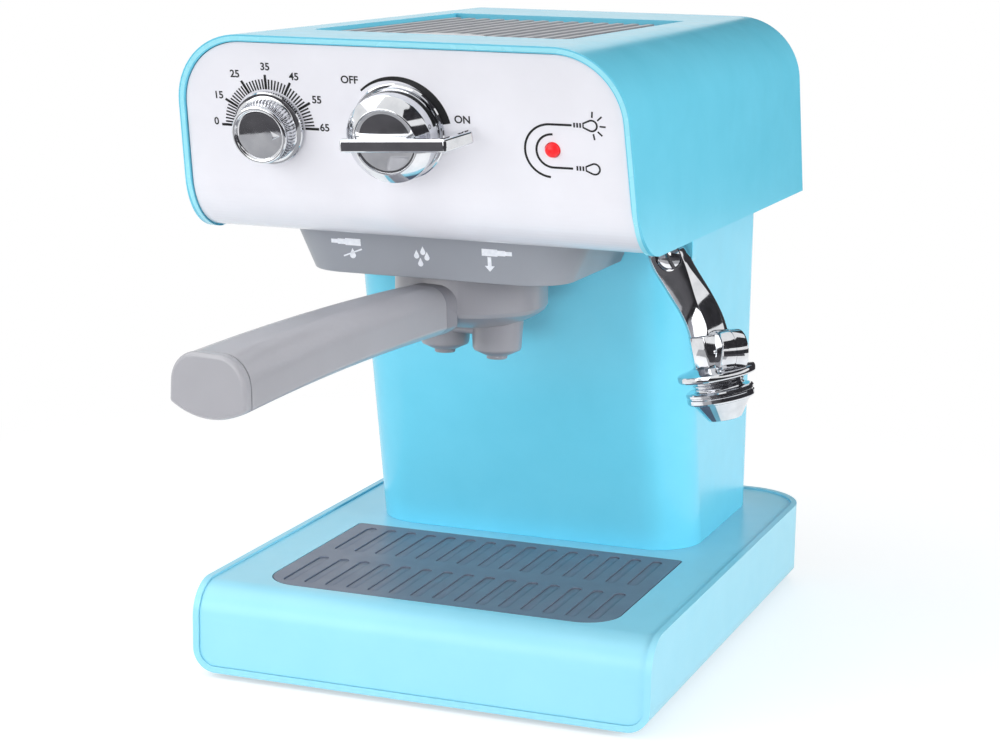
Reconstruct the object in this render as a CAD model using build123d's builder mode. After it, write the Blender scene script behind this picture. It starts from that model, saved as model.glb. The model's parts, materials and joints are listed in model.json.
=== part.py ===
from build123d import *
import os
from math import atan, atan2, cos, radians, sin, tan

# Toy espresso machine, in millimetres. It stands on its feet at z = 0 and its front faces -Y.
os.makedirs("parts", exist_ok=True)

# Walls and clearances
wall = 2.4
rim = 0.8
seam = 0.2
run_gap = 0.4
lift_gap = 0.2
shaft_fit = 0.05

# Base
base_width = 180.0
base_depth = 230.0
base_height = 36.0
base_nose_radius = 13.0
base_bottom_radius = 9.0
base_back_radius = 26.0
foot_height = 2.0
foot_radius = 8.0
foot_sink = 1.0
foot_margin = 20.0
base_screw_margin = 14.0
base_screw_setback = 45.0
boss_radius = 5.0

# Drip tray
tray_width = 139.0
tray_front_margin = 15.0
tray_back_margin = 8.5
tray_front_radius = 14.0
tray_back_radius = 2.0
tray_ledge = 3.0
tray_thickness = 3.0
well_depth = 9.0
groove_width = 4.2
groove_margin = 5.5
groove_edge = 6.5
groove_depth = 1.2
groove_count = 15

# Column
column_width = 137.0
column_depth = 100.9
column_back_margin = 13.6
column_overhang = 30.1
column_radius = 20.0
cover_width = 84.0
cover_height = 90.0
cover_lip = 4.0
cover_screw_margin = 7.0

# Head
overall_height = 242.0
head_height = 72.0
head_length = 243.0
head_top_width = 164.0
head_side_flare = 3.2
head_corner_radius = 26.0
head_back_radius = 5.0
head_front_lean = 13.0
head_back_lean = 5.5
chin_radius = 26.0
panel_lip = 2.0
panel_ledge_width = 3.0
head_screw_margin = 6.0
head_screw_inset = 40.0
head_screw_setback = 14.0

# Controls on the front panel
control_drop = 31.0
control_lift = 0.5
timer_margin = 33.5
timer_drop = 0.9
timer_flange_radius = 13.0
timer_flange_thickness = 2.0
timer_grip_radius = 10.4
timer_grip_height = 6.0
timer_crown_height = 1.6
timer_flutes = 36
flute_radius = 0.6
flute_step = 0.3
pointer_length = 4.5
pointer_width = 3.0
face_depth = 0.8
spindle_radius = 3.0
spindle_grip = 6.0
spindle_depth = 13.0
timer_body_radius = 14.0
switch_x = 0.0
bezel_radius = 17.0
bezel_thickness = 1.2
switch_radius = 15.6
switch_face_radius = 11.5
switch_rim_height = 7.3
switch_bevel_height = 3.5
lever_height = 4.4
lever_thickness = 3.0
lever_left = 15.0
lever_right = 23.5
lever_tip = 30.0
lever_rise = 4.5
lever_drop = 6.5
lever_root = 9.0
lever_turn = 3.0
switch_body_width = 27.0
led_margin = 26.8
led_drop = 3.7
led_radius = 2.5
led_flange = 1.0
led_length = 8.5
led_board_width = 12.0
led_board_thickness = 1.6

# Tank and lid
lid_width = 97.0
lid_depth = 138.0
lid_setback = 41.0
lid_thickness = 2.4
lid_sink = 2.0
lid_corner_radius = 5.0
lid_rib_count = 15
lid_rib_edge = 3.0
lid_rib_width = 2.6
lid_rib_height = 0.8
lid_rib_margin = 9.0
tab_radius = 18.0
tab_height = 1.4
hinge_pin_radius = 1.6
hinge_pin_reach = 1.9
tank_ledge = 4.0
tank_depth = 46.0

# Pump and hoses
pump_setback = 36.0
pump_radius = 22.5
pump_height = 14.0
pump_cover_thickness = 3.0
chamber_radius = 11.0
chamber_height = 8.0
impeller_hub_radius = 3.5
impeller_blades = 6
blade_thickness = 1.4
motor_radius = 12.0
motor_height = 31.0
motor_shaft_radius = 1.5
motor_shaft_grip = 12.0
port_offset = 12.4
spigot_radius = 3.0
spigot_bore = 1.8
spigot_length = 11.0
hose_wall = 1.5
hose_bend_radius = 9.0
hose_hole_gap = 1.2
feed_rise = 9.6
elbow_width = 13.0
elbow_depth = 12.0

# Group under the head
group_reach = 62.5
group_radius = 28.5
skirt_height = 16.0
skirt_low_width = 100.0
skirt_shift = 3.6
skirt_flare = 7.5
skirt_front = 34.0
skirt_front_flare = 3.0
skirt_radius = 16.0
skirt_top_radius = 19.0
shower_thickness = 2.4
shower_holes = 10
shower_hole_radius = 1.3
gasket_thickness = 2.0
gasket_width = 5.0
bayonet_thickness = 3.0
bayonet_gap = 0.5
ear_reach = 4.0
ear_width = 16.0
ear_thickness = 3.0
remove_turn = 42.0

# Portafilter
handle_turn = 10.0
basket_height = 29.5
basket_taper = 7.5
basket_foot_radius = 20.0
spout_spacing = 22.8
spout_root_radius = 9.0
spout_step = 0.5
spout_root_height = 2.2
spout_barrel_height = 2.2
spout_cone_height = 1.6
spout_tip_radius = 3.9
spout_tip_height = 1.6
spout_bore = 1.6
neck_reach = 5.0
neck_drop = 23.5
handle_length = 122.0
handle_droop = 5.9
handle_neck_width = 21.0
handle_neck_height = 19.0
handle_end_width = 30.6
handle_end_height = 21.5
handle_top_share = 0.95
handle_belly = 4.4
handle_neck_radius = 7.0
handle_end_radius = 10.5
handle_low_radius = 1.6
handle_wall = 2.2
handle_cap_thickness = 4.0
handle_cap_edge = 1.6
handle_sections = 4

# Steam wand
wand_margin = 11.5
wand_forward = 40.5
wand_drop = 10.4
wand_thickness = 9.0
wand_eye_radius = 6.8
wand_width = 13.0
wand_bend = 48.0
wand_upper_radius = 14.0
wand_lower_radius = 35.5
wand_edge = 2.0
nozzle_tilt = 13.0
nozzle_block_radius = 8.0
nozzle_block_height = 12.6
nozzle_flange_radius = 14.6
nozzle_flange_height = 2.8
nozzle_neck_radius = 9.6
nozzle_neck_height = 4.0
nozzle_nut_radius = 12.7
nozzle_nut_height = 4.8
nozzle_tip_radius = 6.0
nozzle_tip_height = 7.0
barrel_radius = 7.2
barrel_length = 11.0
barrel_start = -0.6
barrel_drop = 3.7
barrel_turn = 48.0
wand_bore_radius = 2.0
wand_screw_head_radius = 4.2
wand_screw_head_height = 2.2
bracket_width = 13.0
bracket_depth = 6.0

# Batteries
cell_radius = 7.1
cell_length = 50.5
cell_pitch = 15.4
cell_count = 3
cell_gap = 0.3
cell_nub_height = 1.0
contact_thickness = 1.2
contact_width = 11.0
battery_wall = 2.0
battery_ledge = 1.2
battery_setback = 52.0

# Fasteners
screw_radius = 1.4
screw_head_radius = 3.0
screw_head_height = 1.5
screw_length = 11.0

# Places worked out from the driving dimensions
reach = base_width + base_depth + overall_height
base_front_y = -base_depth / 2
base_back_y = base_depth / 2
tub_floor_z = foot_height + wall
deck_top = base_height - rim
deck_low = deck_top - wall
column_back_y = base_back_y - column_back_margin
column_front_y = column_back_y - column_depth
head_bottom = overall_height - head_height
control_height = overall_height - control_drop
timer_x = timer_margin - head_top_width / 2
led_x = head_top_width / 2 - led_margin
head_back_low_y = column_back_y + wall + seam
head_front_y = head_back_low_y - head_length
floor_low = head_bottom + rim
floor_top = floor_low + wall
tray_front_y = base_front_y + tray_front_margin
tray_back_y = column_front_y - tray_back_margin
tray_depth = tray_back_y - tray_front_y
tray_mid_y = (tray_front_y + tray_back_y) / 2
tray_low = deck_top - tray_thickness
groove_length = tray_depth / 2 - 2 * groove_margin
groove_pitch = (tray_width - 2 * groove_edge - groove_width) / (groove_count - 1)
well_floor_z = tray_low - lift_gap - well_depth
group_y = column_front_y - group_reach
wand_x = head_top_width / 2 - wand_margin
lid_front_y = head_front_y + lid_setback
lid_back_y = lid_front_y + lid_depth


def head_half_width(z):
    """Half the width of the head at height z."""
    return head_top_width / 2 + head_side_flare * (overall_height - z) / head_height


def front_face_y(z, inset):
    """Y of the leaning front of the head at height z, moved in by inset."""
    lean = radians(head_front_lean)
    return head_front_y + tan(lean) * (overall_height - z) + inset / cos(lean)


def head_back_y(z, inset):
    """Y of the leaning back of the head at height z, moved in by inset."""
    return head_back_low_y - tan(radians(head_back_lean)) * (z - head_bottom) - inset


def head_front_outline(inset, bottom):
    """Front view of the head, moved in by inset and open downwards to bottom."""
    top = overall_height - inset
    low_half = head_half_width(bottom) - inset
    top_half = head_half_width(top) - inset
    with BuildSketch(Plane.XZ) as outline:
        with BuildLine():
            Polyline((low_half, bottom), (top_half, top), (-top_half, top), (-low_half, bottom), close=True)
        make_face()
        fillet(outline.vertices().group_by(Axis.Y)[-1], head_corner_radius - inset)
    return outline.sketch


def head_side_outline(inset):
    """Side view of the head: leaning front, rounded chin and level bottom, moved in by inset."""
    low = head_bottom + inset
    with BuildSketch(Plane.YZ) as outline:
        with BuildLine():
            Polyline(
                (front_face_y(overall_height, inset), overall_height),
                (front_face_y(low, inset), low),
                (head_back_y(low, 0), low),
                (head_back_y(overall_height, 0), overall_height),
                close=True,
            )
        make_face()
        chin = outline.vertices().group_by(Axis.Y)[0].sort_by(Axis.X)[0]
        fillet(chin, chin_radius - inset)
    return outline.sketch


def base_front_outline(inset, top):
    """Front view of the base: flat sides and rounded bottom corners, moved in by inset."""
    half = base_width / 2 - inset
    low = foot_height + inset
    with BuildSketch(Plane.XZ) as outline:
        with BuildLine():
            Polyline((half, low), (half, top), (-half, top), (-half, low), close=True)
        make_face()
        fillet(outline.vertices().group_by(Axis.Y)[0], base_bottom_radius - inset)
    return outline.sketch


def base_side_outline(inset, back, low):
    """Side view of the base with its rounded front edge, from low up and as far as back."""
    front = base_front_y + inset
    top = base_height - inset
    with BuildSketch(Plane.YZ) as outline:
        with BuildLine():
            Polyline((front, low), (front, top), (back, top), (back, low), close=True)
        make_face()
        nose = outline.vertices().group_by(Axis.Y)[-1].sort_by(Axis.X)[0]
        fillet(nose, base_nose_radius - inset)
    return outline.sketch


def base_plan_outline(inset):
    """Plan of the base, with rounded back corners, open to the front."""
    half = base_width / 2 - inset
    back = base_back_y - inset
    with BuildSketch() as outline:
        with BuildLine():
            Polyline((half, -reach), (half, back), (-half, back), (-half, -reach), close=True)
        make_face()
        fillet(outline.vertices().group_by(Axis.Y)[-1], base_back_radius - inset)
    return outline.sketch


def column_block(inset, extra):
    """Solid of the column, moved in by inset and made longer by extra at both ends."""
    lean = column_overhang / (floor_low - deck_top)
    low = deck_top - extra
    high = floor_low + extra
    front = column_front_y + inset / cos(atan(lean))
    back = column_back_y - inset
    with BuildPart() as block:
        with BuildSketch(Plane.YZ):
            with BuildLine():
                Polyline(
                    (front - lean * (low - deck_top), low),
                    (front - lean * (high - deck_top), high),
                    (back, high),
                    (back, low),
                    close=True,
                )
            make_face()
        extrude(amount=column_width / 2 - inset, both=True)
        upright = block.edges().filter_by(Axis.X, reverse=True).filter_by(Axis.Y, reverse=True)
        fillet(upright, column_radius - inset)
    return block.part


def tray_outline(inset):
    """Plan of the drip tray, moved in by inset: large front corners and small back corners."""
    half = tray_width / 2 - inset
    with BuildSketch() as outline:
        with BuildLine():
            Polyline(
                (half, tray_front_y + inset),
                (half, tray_back_y - inset),
                (-half, tray_back_y - inset),
                (-half, tray_front_y + inset),
                close=True,
            )
        make_face()
        fillet(outline.vertices().group_by(Axis.Y)[0], tray_front_radius - inset)
        fillet(outline.vertices().group_by(Axis.Y)[-1], max(tray_back_radius - inset, tray_back_radius / 2))
    return outline.sketch


def lid_outline(z, grow, back):
    """Plan of the lid at height z as far as back, grown all round, with rounded front corners."""
    half = lid_width / 2 + grow
    front = lid_front_y - grow
    with BuildSketch(Plane.XY.offset(z)) as outline:
        with BuildLine():
            Polyline((half, front), (half, back), (-half, back), (-half, front), close=True)
        make_face()
        fillet(outline.vertices().group_by(Axis.Y)[0], lid_corner_radius + grow)
    return outline.sketch


# Base tub: bottom, sides and back in one moulding
base_screw_spots = [
    (side * (base_width / 2 - base_screw_margin), y)
    for side in (-1, 1)
    for y in (base_front_y + base_screw_setback, base_back_y - base_screw_setback)
]
foot_spots = [
    (side * (base_width / 2 - foot_margin), y)
    for side in (-1, 1)
    for y in (base_front_y + foot_margin, base_back_y - foot_margin)
]
foot_spots.append((0, 0))
battery_width = cell_count * cell_pitch
battery_length = cell_length + 2 * (contact_thickness + cell_gap)
battery_y = column_front_y + battery_setback
battery_top = tub_floor_z + 2 * (cell_radius + cell_gap)
door_width = battery_width + 2 * battery_ledge
door_length = battery_length + 2 * battery_ledge
door_screw_y = battery_y + battery_length / 2 + boss_radius

with BuildPart() as base_cavity:
    extrude(base_front_outline(wall, base_height + wall), amount=reach, both=True)
    extrude(base_plan_outline(wall), amount=reach, both=True, mode=Mode.INTERSECT)

with BuildPart() as base_tub:
    extrude(base_front_outline(0, base_height), amount=reach, both=True)
    extrude(base_side_outline(0, base_back_y, foot_height), amount=reach, both=True, mode=Mode.INTERSECT)
    extrude(base_plan_outline(0), amount=reach, both=True, mode=Mode.INTERSECT)
    add(base_cavity.part, mode=Mode.SUBTRACT)
    with BuildSketch(Plane.XY.offset(foot_height)):
        with Locations(*base_screw_spots, (0, door_screw_y)):
            Circle(screw_radius + shaft_fit)
        with Locations((0, battery_y)):
            Rectangle(door_width, door_length)
    extrude(amount=wall, mode=Mode.SUBTRACT)
    with BuildSketch(Plane.XY.offset(foot_height)):
        with Locations(*foot_spots):
            Circle(foot_radius)
    extrude(amount=foot_sink, mode=Mode.SUBTRACT)

with BuildPart() as rubber_feet:
    with BuildSketch():
        with Locations(*foot_spots):
            Circle(foot_radius - seam)
    extrude(amount=foot_height + foot_sink)
    chamfer(rubber_feet.edges().group_by(Axis.Z)[0], foot_sink)

# Base deck: top and rounded front in one cover, with the drip well and the screw bosses under it
deck_inset = wall + seam
with BuildPart() as base_deck:
    extrude(base_front_outline(deck_inset, base_height), amount=reach, both=True)
    extrude(base_plan_outline(deck_inset), amount=reach, both=True, mode=Mode.INTERSECT)
    extrude(base_side_outline(rim, base_back_y, 0), amount=reach, both=True, mode=Mode.INTERSECT)
    extrude(base_side_outline(rim + wall, reach, -wall), amount=reach, both=True, mode=Mode.SUBTRACT)
    with BuildSketch(Plane.XY.offset(well_floor_z - wall)):
        add(tray_outline(-wall))
    extrude(amount=deck_low - well_floor_z + wall)
    with BuildSketch(Plane.XY.offset(tub_floor_z)):
        with Locations(*base_screw_spots):
            Circle(boss_radius)
    extrude(amount=deck_low - tub_floor_z)
    with BuildSketch(Plane.XY.offset(tray_low - lift_gap)):
        add(tray_outline(0))
    extrude(amount=base_height, mode=Mode.SUBTRACT)
    with BuildSketch(Plane.XY.offset(well_floor_z)):
        add(tray_outline(tray_ledge))
    extrude(amount=base_height, mode=Mode.SUBTRACT)
    with BuildSketch(Plane.XY.offset(tub_floor_z)):
        with Locations(*base_screw_spots):
            Circle(screw_radius + shaft_fit)
    extrude(amount=screw_length, mode=Mode.SUBTRACT)

with BuildPart() as drip_tray:
    with BuildSketch(Plane.XY.offset(tray_low)):
        add(tray_outline(run_gap))
    extrude(amount=tray_thickness)
    with BuildSketch(Plane.XY.offset(deck_top)):
        with Locations((0, tray_mid_y)):
            with GridLocations(groove_pitch, tray_depth / 2, groove_count, 2):
                SlotOverall(groove_length, groove_width, rotation=90)
    extrude(amount=-groove_depth, mode=Mode.SUBTRACT)

with BuildPart() as base_screws:
    with BuildSketch(Plane.XY.offset(foot_height - screw_head_height)):
        with Locations(*base_screw_spots):
            Circle(screw_head_radius)
    extrude(amount=screw_head_height)
    with BuildSketch(Plane.XY.offset(foot_height)):
        with Locations(*base_screw_spots):
            Circle(screw_radius)
    extrude(amount=screw_length)

# Battery box on the tub floor, its cells and contacts, and the door under them
with BuildPart() as battery_box:
    with BuildSketch(Plane.XY.offset(tub_floor_z)):
        with Locations((0, battery_y)):
            Rectangle(battery_width + 2 * battery_wall, battery_length + 2 * battery_wall)
        with Locations((0, door_screw_y)):
            Circle(boss_radius)
    extrude(amount=battery_top - tub_floor_z + battery_wall)
    with BuildSketch(Plane.XY.offset(tub_floor_z)):
        with Locations((0, battery_y)):
            Rectangle(battery_width, battery_length)
    extrude(amount=battery_top - tub_floor_z, mode=Mode.SUBTRACT)
    with BuildSketch(Plane.XY.offset(tub_floor_z)):
        with Locations((0, door_screw_y)):
            Circle(screw_radius + shaft_fit)
    extrude(amount=screw_length, mode=Mode.SUBTRACT)

cell_z = tub_floor_z + cell_radius
cell_nub_radius = cell_radius / 3
cell_front_y = battery_y - cell_length / 2
with BuildPart() as battery_cells:
    with BuildSketch(Plane.XZ.offset(-cell_front_y - cell_nub_height)):
        with Locations((0, cell_z)):
            with GridLocations(cell_pitch, cell_pitch, cell_count, 1):
                Circle(cell_radius)
    extrude(amount=cell_nub_height - cell_length)
    with BuildSketch(Plane.XZ.offset(-cell_front_y)):
        with Locations((0, cell_z)):
            with GridLocations(cell_pitch, cell_pitch, cell_count, 1):
                Circle(cell_nub_radius)
    extrude(amount=-cell_nub_height)

with BuildPart() as battery_contacts:
    for end in (-1, 1):
        contact_y = battery_y + end * (battery_length / 2 - contact_thickness / 2)
        with BuildSketch(Plane.XZ.offset(-contact_y)):
            with Locations((0, cell_z)):
                with GridLocations(cell_pitch, cell_pitch, cell_count, 1):
                    Rectangle(contact_width, contact_width)
        extrude(amount=contact_thickness / 2, both=True)

with BuildPart() as battery_door:
    with BuildSketch(Plane.XY.offset(foot_height)):
        with Locations((0, battery_y)):
            Rectangle(door_width - 2 * seam, door_length - 2 * seam)
    extrude(amount=wall)

with BuildPart() as door_screw:
    with BuildSketch(Plane.XY.offset(foot_height - screw_head_height)):
        with Locations((0, door_screw_y)):
            Circle(screw_head_radius + boss_radius - screw_radius)
    extrude(amount=screw_head_height)
    with BuildSketch(Plane.XY.offset(foot_height)):
        with Locations((0, door_screw_y)):
            Circle(screw_radius)
    extrude(amount=screw_length)

# Column shell with a covered window in its back
cover_mid_z = (deck_top + floor_low) / 2
cover_screw_spots = [
    (sx * (cover_width / 2 - cover_screw_margin), cover_mid_z + sz * (cover_height / 2 - cover_screw_margin))
    for sx in (-1, 1)
    for sz in (-1, 1)
]
ledge_y = column_back_y - wall
with BuildPart() as column_shell:
    add(column_block(0, 0))
    add(column_block(wall, wall), mode=Mode.SUBTRACT)
    with BuildSketch(Plane.XZ.offset(-ledge_y)):
        with Locations((0, cover_mid_z)):
            Rectangle(cover_width + 2 * cover_lip, cover_height + 2 * cover_lip)
    extrude(amount=wall)
    with BuildSketch(Plane.XZ.offset(-column_back_y)):
        with Locations((0, cover_mid_z)):
            Rectangle(cover_width, cover_height)
    extrude(amount=wall, mode=Mode.SUBTRACT)
    with BuildSketch(Plane.XZ.offset(-ledge_y)):
        with Locations((0, cover_mid_z)):
            Rectangle(cover_width - 2 * cover_lip, cover_height - 2 * cover_lip)
        with Locations(*cover_screw_spots):
            Circle(boss_radius, mode=Mode.SUBTRACT)
    extrude(amount=wall, mode=Mode.SUBTRACT)
    with BuildSketch(Plane.XZ.offset(-ledge_y)):
        with Locations(*cover_screw_spots):
            Circle(screw_radius + shaft_fit)
    extrude(amount=wall, mode=Mode.SUBTRACT)

with BuildPart() as back_cover:
    with BuildSketch(Plane.XZ.offset(-column_back_y)):
        with Locations((0, cover_mid_z)):
            Rectangle(cover_width - 2 * seam, cover_height - 2 * seam)
        with Locations(*cover_screw_spots):
            Circle(screw_radius + shaft_fit, mode=Mode.SUBTRACT)
    extrude(amount=wall)

with BuildPart() as cover_screws:
    with BuildSketch(Plane.XZ.offset(-column_back_y - screw_head_height)):
        with Locations(*cover_screw_spots):
            Circle(screw_head_radius)
    extrude(amount=screw_head_height)
    with BuildSketch(Plane.XZ.offset(-column_back_y)):
        with Locations(*cover_screw_spots):
            Circle(screw_radius)
    extrude(amount=2 * wall)

# Head shell: top, sides and back in one moulding, open at the front and below
lid_mid_y = (lid_front_y + lid_back_y) / 2
lid_rib_pitch = (lid_width - 2 * lid_rib_edge - lid_rib_width) / (lid_rib_count - 1)
mouth_width = lid_width + 2 * run_gap
hinge_radius = lid_thickness
hinge_y = lid_back_y - hinge_radius
tank_top = overall_height - wall

with BuildPart() as head_cavity:
    extrude(head_front_outline(wall, head_bottom - wall), amount=reach, both=True)
    with BuildSketch(Plane.YZ):
        with BuildLine():
            Polyline(
                (-reach, head_bottom - wall),
                (-reach, overall_height),
                (head_back_y(overall_height, wall), overall_height),
                (head_back_y(head_bottom - wall, wall), head_bottom - wall),
                close=True,
            )
        make_face()
    extrude(amount=reach, both=True, mode=Mode.INTERSECT)

chin_tangent = chin_radius * tan(radians((90 - head_front_lean) / 2))
panel_end_y = front_face_y(head_bottom, 0) + chin_tangent + panel_lip
panel_end = Plane(origin=(0, panel_end_y, 0), z_dir=(0, 1, 0))
with BuildPart() as panel_ledge:
    extrude(head_front_outline(wall / 2, head_bottom + wall), amount=reach, both=True)
    extrude(head_side_outline(rim + wall + seam), amount=reach, both=True, mode=Mode.INTERSECT)
    extrude(head_side_outline(rim + 2 * wall), amount=reach, both=True, mode=Mode.SUBTRACT)
    ledge_opening = head_front_outline(wall + panel_ledge_width, head_bottom)
    extrude(ledge_opening, amount=reach, both=True, mode=Mode.SUBTRACT)
    split(bisect_by=panel_end, keep=Keep.BOTTOM)

floor_front_y = panel_end_y + seam
floor_back_y = head_back_y(floor_top, wall + seam)
floor_half_width = head_half_width(floor_top) - wall - seam
head_screw_front_x = floor_half_width - head_screw_margin
head_screw_back_x = floor_half_width - head_screw_inset
head_screw_spots = [
    (-head_screw_front_x, floor_front_y + head_screw_setback),
    (head_screw_front_x, floor_front_y + head_screw_setback),
    (-head_screw_back_x, floor_back_y - head_screw_setback),
    (head_screw_back_x, floor_back_y - head_screw_setback),
]
with BuildPart() as head_posts:
    with BuildSketch(Plane.XY.offset(floor_top)):
        with Locations(*head_screw_spots):
            Circle(boss_radius)
    extrude(amount=head_height)
    extrude(head_front_outline(wall / 2, head_bottom), amount=reach, both=True, mode=Mode.INTERSECT)
    with BuildSketch(Plane.XY.offset(floor_top)):
        with Locations(*head_screw_spots):
            Circle(screw_radius + shaft_fit)
    extrude(amount=screw_length, mode=Mode.SUBTRACT)

with BuildPart() as head_shell:
    extrude(head_front_outline(0, head_bottom), amount=reach, both=True)
    extrude(head_side_outline(0), amount=reach, both=True, mode=Mode.INTERSECT)
    back_edges = head_shell.faces().sort_by(Axis.Y)[-1].edges().filter_by(Axis.X)
    fillet(back_edges.sort_by(Axis.Z)[-1], head_back_radius)
    add(head_cavity.part, mode=Mode.SUBTRACT)
    add(panel_ledge.part)
    add(head_posts.part)
    mouth = lid_outline(tank_top - wall, run_gap, lid_back_y + run_gap)
    extrude(mouth, amount=2 * wall + rim, mode=Mode.SUBTRACT)

with BuildPart() as head_screws:
    with BuildSketch(Plane.XY.offset(floor_low - screw_head_height)):
        with Locations(*head_screw_spots):
            Circle(screw_head_radius)
    extrude(amount=screw_head_height)
    with BuildSketch(Plane.XY.offset(floor_low)):
        with Locations(*head_screw_spots):
            Circle(screw_radius)
    extrude(amount=screw_length)

# Front panel, which follows the leaning front and the chin
lean_angle = radians(head_front_lean)
panel = Plane(
    origin=(0, front_face_y(control_height, rim), control_height),
    x_dir=(1, 0, 0),
    z_dir=(0, -cos(lean_angle), -sin(lean_angle)),
)
panel_axis = Axis(panel.origin, panel.z_dir)


def control_plane(x, up, lift):
    """Plane on the front panel at x and up from its middle, lifted off its face."""
    return Plane(origin=panel.from_local_coords((x, up, lift)), x_dir=panel.x_dir, z_dir=panel.z_dir)


spindle_hole = spindle_radius + run_gap
panel_holes = [
    (timer_x, -timer_drop, spindle_hole),
    (switch_x, 0, spindle_hole),
    (led_x, -led_drop, led_radius + seam),
]
with BuildPart() as front_panel:
    extrude(head_front_outline(wall + seam, head_bottom), amount=reach, both=True)
    extrude(head_side_outline(rim), amount=reach, both=True, mode=Mode.INTERSECT)
    extrude(head_side_outline(rim + wall), amount=reach, both=True, mode=Mode.SUBTRACT)
    split(bisect_by=panel_end, keep=Keep.BOTTOM)
    for x, up, radius in panel_holes:
        with BuildSketch(control_plane(x, up, wall)):
            Circle(radius)
        extrude(amount=-3 * wall, mode=Mode.SUBTRACT)

# Head floor, which carries the group, the hoses and the wand bracket
pump_y = column_front_y + pump_setback
suction_spot = (-port_offset, pump_y - port_offset)
feed_spot = (port_offset, pump_y + port_offset)
hose_radius = spigot_radius + shaft_fit + hose_wall
elbow_spot = (port_offset, group_y)
with BuildPart() as head_floor:
    with BuildSketch(Plane.XY.offset(floor_low)):
        with Locations((0, (floor_front_y + floor_back_y) / 2)):
            Rectangle(2 * floor_half_width, floor_back_y - floor_front_y)
        with Locations(*head_screw_spots):
            Circle(screw_radius + shaft_fit, mode=Mode.SUBTRACT)
        with Locations(suction_spot, feed_spot):
            Circle(hose_radius + hose_hole_gap, mode=Mode.SUBTRACT)
        with Locations(elbow_spot):
            Circle(spigot_bore, mode=Mode.SUBTRACT)
    extrude(amount=wall)

# Water tank under the lid, hung from the head's top
tank_low = tank_top - tank_depth
lid_top = overall_height - lid_sink
lid_low = lid_top - lid_thickness
lid_seat_z = lid_low - lift_gap
hinge_z = lid_top - hinge_radius
with BuildPart() as water_tank:
    extrude(lid_outline(tank_low, run_gap + wall, lid_back_y + run_gap + wall), amount=tank_depth)
    mouth = lid_outline(lid_seat_z, run_gap, lid_back_y + run_gap)
    extrude(mouth, amount=tank_depth, mode=Mode.SUBTRACT)
    hold = lid_outline(tank_low + wall, run_gap - tank_ledge, lid_back_y + run_gap)
    extrude(hold, amount=tank_depth, mode=Mode.SUBTRACT)
    with BuildSketch(Plane.YZ):
        with Locations((hinge_y, hinge_z)):
            Circle(hinge_pin_radius + shaft_fit)
    extrude(amount=mouth_width / 2 + hinge_pin_reach + lift_gap, both=True, mode=Mode.SUBTRACT)
    with BuildSketch(Plane.YZ):
        with Locations((hinge_y, hinge_z)):
            Circle(hinge_radius + run_gap)
    extrude(amount=mouth_width / 2, both=True, mode=Mode.SUBTRACT)
    with BuildSketch(Plane.XY.offset(tank_low - spigot_length)):
        with Locations(suction_spot):
            Circle(spigot_radius)
    extrude(amount=spigot_length)
    with BuildSketch(Plane.XY.offset(tank_low - spigot_length)):
        with Locations(suction_spot):
            Circle(spigot_bore)
    extrude(amount=spigot_length + wall, mode=Mode.SUBTRACT)

with BuildPart() as tank_lid:
    extrude(lid_outline(lid_low, 0, hinge_y), amount=lid_thickness)
    with BuildSketch(Plane.XY.offset(lid_top)):
        with Locations((0, lid_mid_y)):
            with GridLocations(lid_rib_pitch, lid_rib_pitch, lid_rib_count, 1):
                Rectangle(lid_rib_width, lid_depth - 2 * lid_rib_margin)
        with Locations((0, lid_front_y)):
            Circle(tab_radius + lid_rib_width, mode=Mode.SUBTRACT)
    extrude(amount=lid_rib_height)
    with BuildSketch(Plane.XY.offset(lid_top)):
        with Locations((0, lid_front_y)):
            Circle(tab_radius)
        with Locations((0, lid_front_y + tab_radius / 2)):
            Rectangle(2 * tab_radius, tab_radius, mode=Mode.INTERSECT)
    extrude(amount=tab_height)
    chamfer(tank_lid.faces().sort_by(Axis.Z)[-1].edges(), tab_height / 2)
    with BuildSketch(Plane.YZ):
        with Locations((hinge_y, hinge_z)):
            Circle(hinge_radius)
    extrude(amount=lid_width / 2 - lid_corner_radius, both=True)
    with BuildSketch(Plane.YZ):
        with Locations((hinge_y, hinge_z)):
            Circle(hinge_pin_radius)
    extrude(amount=mouth_width / 2 + hinge_pin_reach, both=True)

# Timer knob with its spindle, and the click body behind the panel
flange_top = control_lift + timer_flange_thickness
grip_top = flange_top + timer_grip_height
crown_top = grip_top + timer_crown_height
with BuildPart() as timer_knob:
    with BuildSketch(control_plane(timer_x, -timer_drop, control_lift)):
        Circle(timer_flange_radius)
    extrude(amount=timer_flange_thickness)
    with BuildSketch(control_plane(timer_x, -timer_drop, flange_top)):
        Circle(timer_grip_radius - flute_step)
        with PolarLocations(timer_grip_radius - flute_step, timer_flutes):
            Circle(flute_radius, mode=Mode.SUBTRACT)
    extrude(amount=timer_grip_height)
    with BuildSketch(control_plane(timer_x, -timer_drop, grip_top)):
        Circle(timer_grip_radius)
    extrude(amount=timer_crown_height)
    fillet(timer_knob.faces().sort_by(panel_axis)[-1].edges(), timer_crown_height / 2)
    with BuildSketch(control_plane(timer_x, -timer_drop, crown_top)):
        Circle(timer_grip_radius - timer_crown_height)
    extrude(amount=-face_depth, mode=Mode.SUBTRACT)
    with BuildSketch(control_plane(timer_x, -timer_drop, crown_top - face_depth)):
        pointer_out = timer_grip_radius - timer_crown_height - rim
        with BuildLine():
            Polyline(
                (pointer_out, 0),
                (pointer_out - pointer_length, pointer_width / 2),
                (pointer_out - pointer_length, -pointer_width / 2),
                close=True,
            )
        make_face()
    extrude(amount=face_depth)
    with BuildSketch(control_plane(timer_x, -timer_drop, control_lift)):
        Circle(spindle_radius)
    extrude(amount=spindle_grip, mode=Mode.SUBTRACT)

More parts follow.
